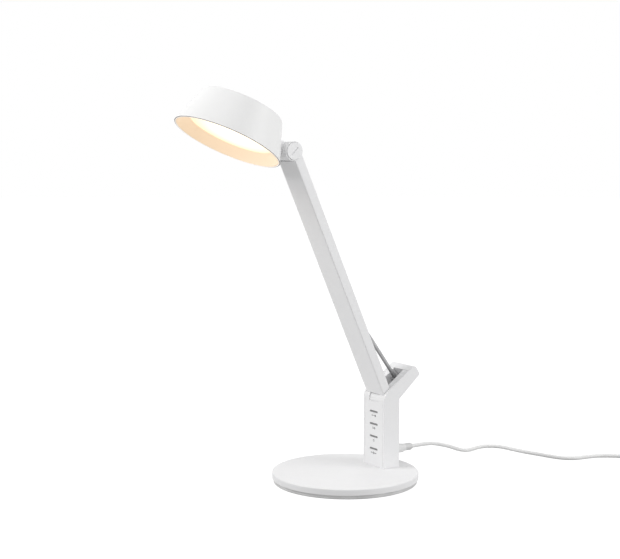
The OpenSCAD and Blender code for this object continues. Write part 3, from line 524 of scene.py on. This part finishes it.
def finish_of(name):
    """The lamp's materials, each made once."""
    if name not in FINISHES:
        kit = bpy.context.scene.lamp_finishes
        makers = {
            "lamp white": lambda: moulded_plastic("Lamp white plastic", kit.white, kit.plastic_roughness),
            # The base's white is a darker copy of the lamp's white: painted shade
            "base shaded white": lambda: moulded_plastic(
                "Base white, painted shade", scaled(kit.white, BASE_SHADED_PART), kit.plastic_roughness),
            "shade white": lambda: moulded_plastic(
                "Shade lacquer", kit.shade_white, roughness=0.42, grain=2600, depth=0.000006),
            # The ring's tone and glow and the lip's glow are painted light; the rim band is painted shade
            "ring": lambda: painted_glow_ring("Reflector ring", kit.ring, RING_PAINTED_GLOW, kit.ring_painted_glow),
            "lip": lambda: painted_glow_ring("Rim lip", LIP_TONE, LIP_PAINTED_GLOW, LIP_PAINTED_STRENGTH),
            "band": lambda: moulded_plastic("Rim shade band", kit.band, roughness=0.5, grain=1800, depth=0.000006),
            "foot rubber": lambda: rubber("Foot rubber", kit.foot),
            "tie rubber": lambda: rubber("Tie rubber", TIE_TONE),
            "key bars": lambda: smoked_plastic("Smoked key bars", kit.bars),
            "marks": lambda: printed_ink("Key print", kit.marks),
            "strut steel": lambda: drawn_metal("Strut steel", kit.steel, along=(False, True, True)),
            "pin steel": lambda: drawn_metal(
                "Pin steel", scaled(kit.steel, PIN_PART), along=(True, False, False)),
            "zinc": lambda: drawn_metal("Zinc plate", ZINC_TONE, along=(True, False, True), roughness=0.4),
            "aluminium": lambda: drawn_metal(
                "Heat plate aluminium", ALUMINIUM_TONE, along=(True, False, False), roughness=0.38),
            "diffuser": lambda: lit_diffuser(
                "Lit diffuser", kit.light, kit.light_strength, head_place() @ LIGHT_MIDDLE, DISC_R),
            "cord": lambda: braided_yarn("Cord braid", kit.cord),
            "plug": lambda: moulded_plastic(
                "Plug plastic", kit.plug, roughness=0.5, grain=1800, depth=0.00001),
            "relief": lambda: moulded_plastic(
                "Strain relief", scaled(kit.plug, GRIP_PART), roughness=0.55, grain=1400, depth=0.00001),
            "dark": lambda: moulded_plastic(
                "Dark plastic", DARK_TONE, roughness=0.45, grain=1200, depth=0.00001),
            "board": lambda: circuit_board("Circuit board"),
        }
        FINISHES[name] = makers[name]()
    return FINISHES[name]


def coat_nodes(names, finish):
    """Gives a finish to CAD nodes that keep their own shape."""
    for name in names:
        mesh = NODES[name].data
        mesh.materials.clear()
        mesh.materials.append(finish_of(finish))


def turned_piece(name, profile, place, finish, body, nodes=(), steps=TURN_STEPS):
    """Adds a piece that is turned from a profile."""
    mesh = turned(profile, steps, place, name.replace("_", " ").capitalize())
    return add_piece(name, mesh, finish_of(finish), body, nodes)


# Geometry Nodes

class Tree:
    """A Geometry Nodes tree with named inputs."""

    def __init__(self, name, inputs):
        self.tree = bpy.data.node_groups.new(name, "GeometryNodeTree")
        sockets = self.tree.interface
        sockets.new_socket("Geometry", in_out="OUTPUT", socket_type="NodeSocketGeometry")
        sockets.new_socket("Geometry", in_out="INPUT", socket_type="NodeSocketGeometry")
        self.keys = {}
        for label, kind in inputs.items():
            socket = sockets.new_socket(label, in_out="INPUT", socket_type="NodeSocket" + kind)
            self.keys[label] = socket.identifier
        self.source = self.tree.nodes.new("NodeGroupInput")
        self.out = self.tree.nodes.new("NodeGroupOutput")

    def node(self, kind, links=None, **values):
        whole = kind.startswith(("Function", "Shader"))
        node = self.tree.nodes.new(kind if whole else "GeometryNode" + kind)
        for key, value in values.items():
            setattr(node, key, value)
        for key, value in (links or {}).items():
            if isinstance(value, bpy.types.NodeSocket):
                self.tree.links.new(value, node.inputs[key])
            else:
                node.inputs[key].default_value = value
        return node

    def given(self, label):
        return self.source.outputs[label]

    def close(self, geometry):
        real = self.node("RealizeInstances", {"Geometry": geometry})
        coated = self.node("SetMaterial", {"Geometry": real.outputs[0], "Material": self.given("Material")})
        self.tree.links.new(coated.outputs[0], self.out.inputs[0])

    def make(self, mesh, name, values):
        """Runs the tree on a mesh and returns the result as a plain mesh."""
        carrier = bpy.data.objects.new(name, mesh)
        bpy.context.scene.collection.objects.link(carrier)
        modifier = carrier.modifiers.new(name, "NODES")
        modifier.node_group = self.tree
        for label, value in values.items():
            modifier[self.keys[label]] = value
        bpy.context.view_layer.update()
        graph = bpy.context.evaluated_depsgraph_get()
        made = bpy.data.meshes.new_from_object(carrier.evaluated_get(graph), depsgraph=graph)
        carrier.modifiers.remove(modifier)
        bpy.data.objects.remove(carrier)
        return made


def line_mesh(points, name):
    """A bare line through the points."""
    mesh = bpy.data.meshes.new(name)
    mesh.from_pydata(points, [(i, i + 1) for i in range(len(points) - 1)], [])
    return mesh


def point_mesh(points, name):
    """Loose points."""
    mesh = bpy.data.meshes.new(name)
    mesh.from_pydata(points, [], [])
    return mesh


def sleeve_tree():
    """A tube with a map along a line: metres along it, and once round it."""
    tree = Tree("Braided sleeve", {
        "Radius": "Float", "Sides": "Int", "Step": "Float", "Material": "Material"})
    line = tree.node("MeshToCurve", {"Mesh": tree.given("Geometry")})
    eased = tree.node("CurveSplineType", {"Curve": line.outputs[0]}, spline_type="CATMULL_ROM")
    fine = tree.node("SetSplineResolution", {"Geometry": eased.outputs[0], "Resolution": 4})
    even = tree.node("ResampleCurve", {"Curve": fine.outputs[0], "Length": tree.given("Step")}, mode="LENGTH")
    run = tree.node("SplineParameter")
    kept = tree.node("StoreNamedAttribute", {
        "Geometry": even.outputs[0], "Name": "along", "Value": run.outputs["Length"]},
        data_type="FLOAT", domain="POINT")
    points = tree.node("FunctionNodeIntegerMath", {0: tree.given("Sides"), 1: 1})
    ring = tree.node("CurveArc", {
        "Resolution": points.outputs[0],
        "Radius": tree.given("Radius"), "Start Angle": 0.0, "Sweep Angle": 2 * math.pi})
    turn = tree.node("SplineParameter")
    ring_kept = tree.node("StoreNamedAttribute", {
        "Geometry": ring.outputs[0], "Name": "around", "Value": turn.outputs["Factor"]},
        data_type="FLOAT", domain="POINT")
    skin = tree.node("CurveToMesh", {"Curve": kept.outputs[0], "Profile Curve": ring_kept.outputs[0]})
    along = tree.node("InputNamedAttribute", {"Name": "along"}, data_type="FLOAT")
    around = tree.node("InputNamedAttribute", {"Name": "around"}, data_type="FLOAT")
    both = tree.node("ShaderNodeCombineXYZ", {"X": along.outputs[0], "Y": around.outputs[0]})
    mapped = tree.node("StoreNamedAttribute", {
        "Geometry": skin.outputs[0], "Name": "UVMap", "Value": both.outputs[0]},
        data_type="FLOAT2", domain="CORNER")
    closed = tree.node("MergeByDistance", {"Geometry": mapped.outputs[0], "Distance": 0.000005})
    soft = tree.node("SetShadeSmooth", {"Geometry": closed.outputs[0]})
    tree.close(soft.outputs[0])
    return tree


def bar_tree():
    """A flat bar with round corners on every point, facing the front."""
    tree = Tree("Key bars", {
        "Width": "Float", "Height": "Float", "Depth": "Float", "Corner": "Float", "Material": "Material"})
    outline = tree.node("CurvePrimitiveQuadrilateral", {
        "Width": tree.given("Width"), "Height": tree.given("Height")})
    eased = tree.node("FilletCurve", {
        "Curve": outline.outputs[0], "Radius": tree.given("Corner"), "Count": 4}, mode="POLY")
    face = tree.node("FillCurve", {"Curve": eased.outputs[0]}, mode="NGONS")
    raised = tree.node("ExtrudeMesh", {
        "Mesh": face.outputs[0], "Offset Scale": tree.given("Depth"), "Individual": False}, mode="FACES")
    back = tree.node("FlipFaces", {"Mesh": face.outputs[0]})
    both = tree.node("JoinGeometry", {"Geometry": raised.outputs[0]})
    tree.tree.links.new(back.outputs[0], both.inputs[0])
    closed = tree.node("MergeByDistance", {"Geometry": both.outputs[0], "Distance": 0.000002})
    spread = tree.node("InstanceOnPoints", {
        "Points": tree.given("Geometry"), "Instance": closed.outputs[0], "Rotation": (math.pi / 2, 0, 0)})
    tree.close(spread.outputs[0])
    return tree


# Cord

# Points of the free stretch in millimetres, from the plug at the post to the coil
CORD_ROUTE = [
    (0, 86, 25), (0, 98, 25), (0, 112, 24.5), (-2, 127, 21), (-6, 143, 16), (-13, 159, 10),
    (-20, 175, 5), (-26, 189, 2.5), (-31, 203, 2), (-31, 218, 2), (-20, 229, 2), (-3, 232, 2), (14, 235, 2),
    (31, 240, 2), (46, 244, 2), (59, 250, 2), (67, 261, 2), (69, 274, 2), (72, 287, 2), (78, 298, 2),
    (85, 306, 2), (93, 312.5, 2.3), (102, 316, 2.7), (106, 316, 2.7)]
# Coil in millimetres: its middle, its outer radius and the step from one turn to the next
COIL_MIDDLE, COIL_OUT_R, COIL_PITCH = (110, 347.9), 31.9, 4.95
# Turns that run inward on the table, and then outward on top of them, and points in one turn
COIL_TURNS, COIL_STEPS = 4, 24
# Height of the cord in the lower layer, and of the far plug's middle
COIL_LOW, PLUG_HALF = 2.7, 4
# Last points: how far each is beyond the coil's end, and its part of the way down to the far plug
COIL_TAIL = ((8, 0.04), (16, 0.55), (24, 1), (28, 1))
# How far each end of the cord reaches into its plug, and the length of the sleeve's faces, in metres
CORD_TUCK, SLEEVE_STEP = 0.003, 0.0022


def eased_point(a, b, c, d, t):
    """Point at the part t of the way from b to c, on a smooth curve through a, b, c and d."""
    steady = 2 * b + (c - a) * t
    return 0.5 * (steady + (2 * a - 5 * b + 4 * c - d) * t * t + (3 * b - a - 3 * c + d) * t ** 3)


def cord_path():
    """The cord's points in metres, from the plug at the post to the plug at its far end."""
    route = [Vector(p) for p in CORD_ROUTE]
    inner, last = route[1:], len(route) - 2
    free = [eased_point(inner[max(i - 1, 0)], inner[i], inner[i + 1], inner[min(i + 2, last)], t)
            for i in range(last) for t in (0, 0.5)]
    coil = []
    for i in range(2 * COIL_TURNS * COIL_STEPS + COIL_STEPS // 2 + 1):
        t = i / COIL_STEPS
        climb = min(max((t - COIL_TURNS) * 2, 0), 1)
        radius = COIL_OUT_R - COIL_PITCH * min(t, COIL_TURNS) + COIL_PITCH * max(t - COIL_TURNS - 0.5, 0)
        turn = math.radians(-90 + 360 * t)
        coil.append(Vector((
            COIL_MIDDLE[0] + radius * math.cos(turn), COIL_MIDDLE[1] + radius * math.sin(turn),
            COIL_LOW + climb * COIL_PITCH)))
    drop = coil[-1].z - PLUG_HALF
    tail = [coil[-1] - Vector((beyond, 0, part * drop)) for beyond, part in COIL_TAIL]
    return [p / 1000 for p in [route[0], *free[:-1], route[-1], *coil, *tail]]


class LAMP_OT_cord(bpy.types.Operator):
    """Lays the textile cord with its plugs and its tie"""
    bl_idname = "lamp.cord"
    bl_label = "Cord and plugs"

    def execute(self, context):
        sizes = context.scene.lamp_sizes
        path = cord_path()
        start = path[0] - Vector((0, CORD_TUCK, 0))
        end = path[-1] + (path[-1] - path[-2]).normalized() * CORD_TUCK
        mesh = sleeve_tree().make(line_mesh([start, *path, end], "Cord line"), "Cord", {
            "Radius": sizes.cord_diameter / 2, "Sides": sizes.cord_sides, "Step": SLEEVE_STEP,
            "Material": finish_of("cord")})
        bm = bmesh.new()
        bm.from_mesh(mesh)
        bmesh.ops.holes_fill(bm, edges=[e for e in bm.edges if e.is_boundary], sides=0)
        bmesh.ops.recalc_face_normals(bm, faces=bm.faces)
        bm.to_mesh(mesh)
        bm.free()
        cord = add_piece(
            "textile_cord", mesh, finish_of("cord"), "base", ("cord_run", "cord_coil"))
        plug, metal, edge = finish_of("plug"), finish_of("zinc"), sizes.small_edge
        finish_node("usb_plug_body", plug, "base", edge, "lamp_plug")
        bend = COLLAR_LONG - COLLAR_EDGE
        collar = [
            (PLUG_HOLE_R, 0), (COLLAR_R - COLLAR_BEVEL, 0), (COLLAR_R, COLLAR_BEVEL),
            *arc((COLLAR_R - COLLAR_EDGE, bend), COLLAR_EDGE, 0, 90, 4),
            (CORD_HOLE_R, COLLAR_LONG), (CORD_HOLE_R, bend)]
        place = Matrix.Translation(COLLAR_AT) @ Matrix.Rotation(math.radians(-90), 4, "X")
        even_normals(turned_piece("plug_collar", collar, place, "relief", "base", steps=48))
        far_plug = finish_node("usb_a_body", plug, "base", edge * 2, "far_plug")
        finish_node("usb_plug_shell", metal, "base", THIN_EDGE, "lamp_plug_shell")
        far_shell = finish_node("usb_a_shell", metal, "base", THIN_EDGE, "far_plug_shell")
        tie = finish_node("cord_tie", finish_of("tie rubber"), "base", THIN_EDGE, "coil_tie")
        return {"FINISHED"}


# Lamp

class LAMP_OT_base(bpy.types.Operator):
    """Makes the round base cover, the foot and what lies between them"""
    bl_idname = "lamp.base"
    bl_label = "Base"

    def execute(self, context):
        sizes = context.scene.lamp_sizes
        edge, wall, bevel, foot_bevel = sizes.cover_edge, 0.0018, 0.0003, 0.0006
        cover = [
            (COVER_R - wall, FOOT_TOP), (COVER_R - bevel, FOOT_TOP), (COVER_R, FOOT_TOP + bevel),
            *arc((COVER_R - edge, COVER_TOP - edge), edge, 0, 90, 6), (0, COVER_TOP),
            (0, COVER_TOP - wall), (COVER_R - wall, COVER_TOP - wall)]
        even_normals(turned_piece(
            "base_shell", cover, Matrix(), "base shaded white", "base", ("base_cover",)))
        foot_r = COVER_R - sizes.foot_inset
        foot = [(0, 0), (foot_r - foot_bevel, 0), (foot_r, foot_bevel), (foot_r, FOOT_TOP), (0, FOOT_TOP)]
        even_normals(turned_piece(
            "rubber_foot", foot, Matrix(), "foot rubber", "base", ("foot_pad",)))
        coat_nodes(("base_plate",), "dark")
        coat_nodes(("ballast_plate",), "pin steel")
        coat_nodes(("base_screws", "post_screws"), "zinc")
        return {"FINISHED"}


class LAMP_OT_post(bpy.types.Operator):
    """Makes the Y-shaped post, its inner frame and what is in it"""
    bl_idname = "lamp.post"
    bl_label = "Post"

    def execute(self, context):
        sizes = context.scene.lamp_sizes
        white = finish_of("lamp white")
        finish_node("post_housing", white, "base", sizes.post_edge, "post_shell")
        finish_node("hinge_frame", white, "base", sizes.small_edge, "post_frame")
        coat_nodes(("pivot_pin", "strut_pin"), "pin steel")
        coat_nodes(("pivot_washers", "usb_socket"), "zinc")
        coat_nodes(("touch_board", "control_board"), "board")
        return {"FINISHED"}


def print_shape(bm, shape, height):
    """Adds one shape of a symbol, whose middle is at this height on the post's front."""
    kind, x, z, *size = shape
    if kind == "bar":
        wide, tall = size[0] / 2, size[1] / 2
        outline = [(-wide, -tall), (wide, -tall), (wide, tall), (-wide, tall)]
    else:
        inner, outer, start, end = size
        steps = 24
        outline = arc((0, 0), outer, start, end, steps)
        outline += arc((0, 0), inner, end, start, steps) if inner else [(0, 0)]
    outline = [((x + u) / 1000, height + (z + v) / 1000) for u, v in outline]
    front, back = POST_FRONT - INK_PROUD, POST_FRONT + INK_DEEP
    near = [bm.verts.new((u, front, v)) for u, v in outline]
    deep = [bm.verts.new((u, back, v)) for u, v in outline]
    bm.faces.new(near)
    bm.faces.new(deep[::-1])
    for i in range(len(near)):
        n = (i + 1) % len(near)
        bm.faces.new((near[i], deep[i], deep[n], near[n]))


class LAMP_OT_keys(bpy.types.Operator):
    """Makes the four key bars and the printed symbols under them"""
    bl_idname = "lamp.keys"
    bl_label = "Touch keys"

    def execute(self, context):
        sizes = context.scene.lamp_sizes
        depth, corner, proud = 0.001, 0.0003, 0.00008
        heights = [KEY_TOP - i * KEY_PITCH for i in range(KEY_COUNT)]
        spots = point_mesh([(0, POST_FRONT + depth - proud, z) for z in heights], "Key places")
        bars = bar_tree().make(spots, "Key bars", {
            "Width": sizes.bar_width, "Height": sizes.bar_height, "Depth": depth, "Corner": corner,
            "Material": finish_of("key bars")})
        smooth(bars)
        add_piece("touch_bars", bars, finish_of("key bars"), "base", ("key_bars",))
        bm = bmesh.new()
        for z, mark in zip(heights, KEY_MARKS):
            for shape in mark:
                print_shape(bm, shape, z - MARK_DROP)
        add_piece("key_marks", from_bmesh(bm, "Key marks"), finish_of("marks"), "base")
        return {"FINISHED"}


class LAMP_OT_arm(bpy.types.Operator):
    """Makes the arm, its rear cover, its foot and what is in it"""
    bl_idname = "lamp.arm"
    bl_label = "Arm"

    def execute(self, context):
        sizes = context.scene.lamp_sizes
        white, dark, edge = finish_of("lamp white"), finish_of("dark"), sizes.small_edge
        finish_node("arm_shell", white, "arm", sizes.arm_edge, "arm_body")
        finish_node("arm_rear_cover", white, "arm", edge, "arm_back")
        finish_node("arm_lug", white, "arm", edge, "arm_foot")
        finish_node("slider_carriage", dark, "carriage", edge, "carriage_block")
        coat_nodes(("lug_screws", "spring_anchor"), "zinc")
        coat_nodes(("balance_spring",), "pin steel")
        coat_nodes(("lead_wire",), "dark")
        return {"FINISHED"}


class LAMP_OT_strut(bpy.types.Operator):
    """Makes the steel strut behind the arm"""
    bl_idname = "lamp.strut"
    bl_label = "Strut"

    def execute(self, context):
        finish_node("strut_rod", finish_of("strut steel"), "strut", STRUT_EDGE, "strut_bar")
        coat_nodes(("strut_cross_pin",), "zinc")
        return {"FINISHED"}


class LAMP_OT_knuckle(bpy.types.Operator):
    """Makes the hinge at the head with its slotted screw"""
    bl_idname = "lamp.knuckle"
    bl_label = "Head hinge"

    def execute(self, context):
        white, edge = finish_of("lamp white"), context.scene.lamp_sizes.small_edge
        finish_node("tension_screw", white, "arm", edge, "hinge_screw")
        finish_node("tension_nut", white, "arm", edge, "hinge_cap")
        finish_node("head_knuckle", white, "head", edge, "head_neck")
        coat_nodes(("knuckle_pin",), "pin steel")
        coat_nodes(("knuckle_washers", "neck_screws"), "zinc")
        return {"FINISHED"}


class LAMP_OT_head(bpy.types.Operator):
    """Makes the shade, the reflector ring and the lit diffuser"""
    bl_idname = "lamp.head"
    bl_label = "Head"

    def execute(self, context):
        sizes = context.scene.lamp_sizes
        edge, band = sizes.shade_edge, sizes.band_height
        place = head_place()
        slope = (RIM_R - TOP_R) / SHADE_H
        lean = math.atan(slope)
        wall_r, band_in_r = RIM_R - SHADE_WALL, RIM_R - BAND_REACH
        # middle of the arc at the top edge, which touches both the wall and the top
        arc_z = SHADE_H - edge
        arc_r = RIM_R - slope * arc_z - edge / math.cos(lean)
        shade = [
            (wall_r, LACQUER_LOW), (band_in_r, LACQUER_LOW), (band_in_r, band), (RIM_R - slope * band, band),
            *arc((arc_r, arc_z), edge, math.degrees(lean), 90, 6), (0, SHADE_H), (0, SHADE_H - SHADE_TOP),
            (TOP_R - SHADE_WALL + slope * SHADE_TOP, SHADE_H - SHADE_TOP)]
        even_normals(turned_piece(
            "shade", shade, place, "shade white", "head", ("shade_shell",)))
        # A darker grey band round the rim's lower outer edge: painted shade
        line = [
            (band_in_r, BAND_LOW), (RIM_R - BAND_LOW, BAND_LOW), (RIM_R, 2 * BAND_LOW),
            (RIM_R - slope * band, band), (band_in_r, band)]
        turned_piece("rim_shade_band", line, place, "band", "head")
        # Lip under the rim's wall, made light by a painted glow
        lip = [
            (wall_r, LACQUER_LOW), (wall_r, LIP_BEVEL), (wall_r + LIP_BEVEL, 0), (band_in_r - LIP_BEVEL, 0),
            (band_in_r, LIP_BEVEL), (band_in_r, LACQUER_LOW)]
        turned_piece("rim_lip", lip, place, "lip", "head")
        # Reflector ring in painted warm light and a painted glow
        rim_r = wall_r - slope * RING_LOW - RING_GAP
        ring = [
            (DISC_R, DISC_DEEP), (DISC_R, DISC_DEEP - RING_EDGE),
            (rim_r - RING_RIM, RING_LOW), (rim_r, RING_LOW),
            (rim_r - slope * RING_WALL, RING_LOW + RING_WALL), (DISC_R + RING_SEAT, DISC_DEEP)]
        turned_piece("light_ring", ring, place, "ring", "head", ("reflector_ring",))
        disc_r, disc_top = DISC_R + DISC_BORDER, DISC_DEEP + DISC_THICK
        disc = [(0, DISC_DEEP), (disc_r, DISC_DEEP), (disc_r, disc_top), (0, disc_top)]
        turned_piece("opal_disc", disc, place, "diffuser", "head", ("diffuser",))
        coat_nodes(("led_board",), "board")
        coat_nodes(("heat_plate",), "aluminium")
        coat_nodes(("head_screws",), "zinc")
        return {"FINISHED"}


# Stage

# The point that the lamps look at, and each lamp's size and place
LIT_POINT = Vector((0, 0.05, 0.2))
TOP_LAMP = (1.6, (0.3, 0.1, 2.0))
RIGHT_LAMP = (1.2, (1.6, 1.15, 0.9))
FRONT_LAMP = (0.9, (-0.6, -1.45, 1.2))
SENSOR_WIDTH = 36
# Floor: its radius, its grey and its glow where it is seen, and its grey for the light on the lamp
FLOOR_R, SEEN_GREY, SEEN_GLOW, LIT_GREY = 8, 0.25, 0.9, 0.48


def add_camera(scene, studio):
    """Camera that sees the lamp as the photograph does."""
    camera = bpy.data.cameras.new("Studio camera")
    camera.lens = studio.lens
    camera.sensor_width = SENSOR_WIDTH
    camera.sensor_fit = "HORIZONTAL"
    stand = bpy.data.objects.new("studio_camera", camera)
    stand.location = studio.camera_at
    stand.rotation_euler = studio.camera_turn
    scene.collection.objects.link(stand)
    scene.camera = stand


def add_lamp(scene, name, power, size, place):
    """Round area lamp that looks at the lit point."""
    lamp = bpy.data.lights.new(name, "AREA")
    lamp.energy = power
    lamp.shape = "DISK"
    lamp.size = size
    stand = bpy.data.objects.new(name, lamp)
    stand.location = place
    stand.rotation_euler = (LIT_POINT - Vector(place)).to_track_quat("-Z", "Y").to_euler()
    scene.collection.objects.link(stand)


def where_seen(tree):
    """1 for rays from the camera, through clear or off shiny surfaces, and 0 for the light on the lamp."""
    path = tree.nodes.new("ShaderNodeLightPath")
    seen = path.outputs["Is Camera Ray"]
    for ray in ("Is Transmission Ray", "Is Glossy Ray"):
        larger = tree.nodes.new("ShaderNodeMath")
        larger.operation = "MAXIMUM"
        tree.links.new(seen, larger.inputs[0])
        tree.links.new(path.outputs[ray], larger.inputs[1])
        seen = larger.outputs[0]
    return seen


def add_room(scene, strength):
    """World that looks white and lights the lamp at the given strength."""
    world = bpy.data.worlds.new("White room")
    world.use_nodes = True
    scene.world = world
    tree = world.node_tree
    level = tree.nodes.new("ShaderNodeMapRange")
    tree.links.new(where_seen(tree), level.inputs["Value"])
    level.inputs["To Min"].default_value = strength
    level.inputs["To Max"].default_value = 1.0
    room = tree.nodes["Background"]
    room.inputs["Color"].default_value = (1, 1, 1, 1)
    tree.links.new(level.outputs["Result"], room.inputs["Strength"])


def add_floor(scene):
    """Floor that looks white but keeps the lamp's shadow, and lights the lamp as grey paper would."""
    bm = bmesh.new()
    bmesh.ops.create_circle(bm, cap_ends=True, segments=64, radius=FLOOR_R)
    floor = bpy.data.objects.new("studio_floor", from_bmesh(bm, "Studio floor"))
    scene.collection.objects.link(floor)
    finish = Finish("Studio floor")
    nodes, links = finish.tree.nodes, finish.tree.links
    nodes.remove(finish.shader)
    nodes.remove(finish.place)
    dull = finish.node("ShaderNodeBsdfDiffuse", {"Color": (SEEN_GREY, SEEN_GREY, SEEN_GREY, 1)})
    glow = finish.node("ShaderNodeEmission", {"Color": (1, 1, 1, 1), "Strength": SEEN_GLOW})
    view = finish.node("ShaderNodeAddShader")
    links.new(dull.outputs[0], view.inputs[0])
    links.new(glow.outputs[0], view.inputs[1])
    paper = finish.node("ShaderNodeBsdfDiffuse", {"Color": (LIT_GREY, LIT_GREY, LIT_GREY, 1)})
    mix = finish.node("ShaderNodeMixShader", {0: where_seen(finish.tree)})
    links.new(paper.outputs[0], mix.inputs[1])
    links.new(view.outputs[0], mix.inputs[2])
    links.new(mix.outputs[0], nodes["Material Output"].inputs["Surface"])
    floor.data.materials.append(finish.material)


class LAMP_OT_stage(bpy.types.Operator):
    """Sets the camera, the lights, the white room and the floor"""
    bl_idname = "lamp.stage"
    bl_label = "Studio"

    def execute(self, context):
        scene = context.scene
        studio = scene.lamp_studio
        scene.view_settings.view_transform = "Standard"
        add_camera(scene, studio)
        add_lamp(scene, "top_lamp", studio.top_light, *TOP_LAMP)
        add_lamp(scene, "right_lamp", studio.side_light, *RIGHT_LAMP)
        add_lamp(scene, "front_lamp", studio.front_light, *FRONT_LAMP)
        add_room(scene, studio.world)
        add_floor(scene)
        return {"FINISHED"}


class LAMP_PT_panel(bpy.types.Panel):
    """Lists the lamp's steps and its settings"""
    bl_idname = "LAMP_PT_panel"
    bl_label = "LED desk lamp"
    bl_space_type = "VIEW_3D"
    bl_region_type = "UI"
    bl_category = "Lamp"

    def draw(self, context):
        for step in STEPS:
            self.layout.operator(step.bl_idname)
        for group in (context.scene.lamp_finishes, context.scene.lamp_sizes, context.scene.lamp_studio):
            box = self.layout.box()
            for name in group.__annotations__:
                box.prop(group, name)


STEPS = (
    LAMP_OT_stage, LAMP_OT_cord, LAMP_OT_base, LAMP_OT_post, LAMP_OT_keys, LAMP_OT_arm, LAMP_OT_strut,
    LAMP_OT_knuckle, LAMP_OT_head)
CLASSES = (LampFinishes, LampSizes, LampStudio, *STEPS, LAMP_PT_panel)


def register():
    for kind in CLASSES:
        bpy.utils.register_class(kind)
    bpy.types.Scene.lamp_finishes = PointerProperty(type=LampFinishes)
    bpy.types.Scene.lamp_sizes = PointerProperty(type=LampSizes)
    bpy.types.Scene.lamp_studio = PointerProperty(type=LampStudio)


def unregister():
    del bpy.types.Scene.lamp_finishes
    del bpy.types.Scene.lamp_sizes
    del bpy.types.Scene.lamp_studio
    for kind in reversed(CLASSES):
        bpy.utils.unregister_class(kind)


def main():
    register()
    bpy.ops.lamp.stage()
    bpy.ops.lamp.cord()
    bpy.ops.lamp.base()
    bpy.ops.lamp.post()
    bpy.ops.lamp.keys()
    bpy.ops.lamp.arm()
    bpy.ops.lamp.strut()
    bpy.ops.lamp.knuckle()
    bpy.ops.lamp.head()


if __name__ == "__main__":
    main()
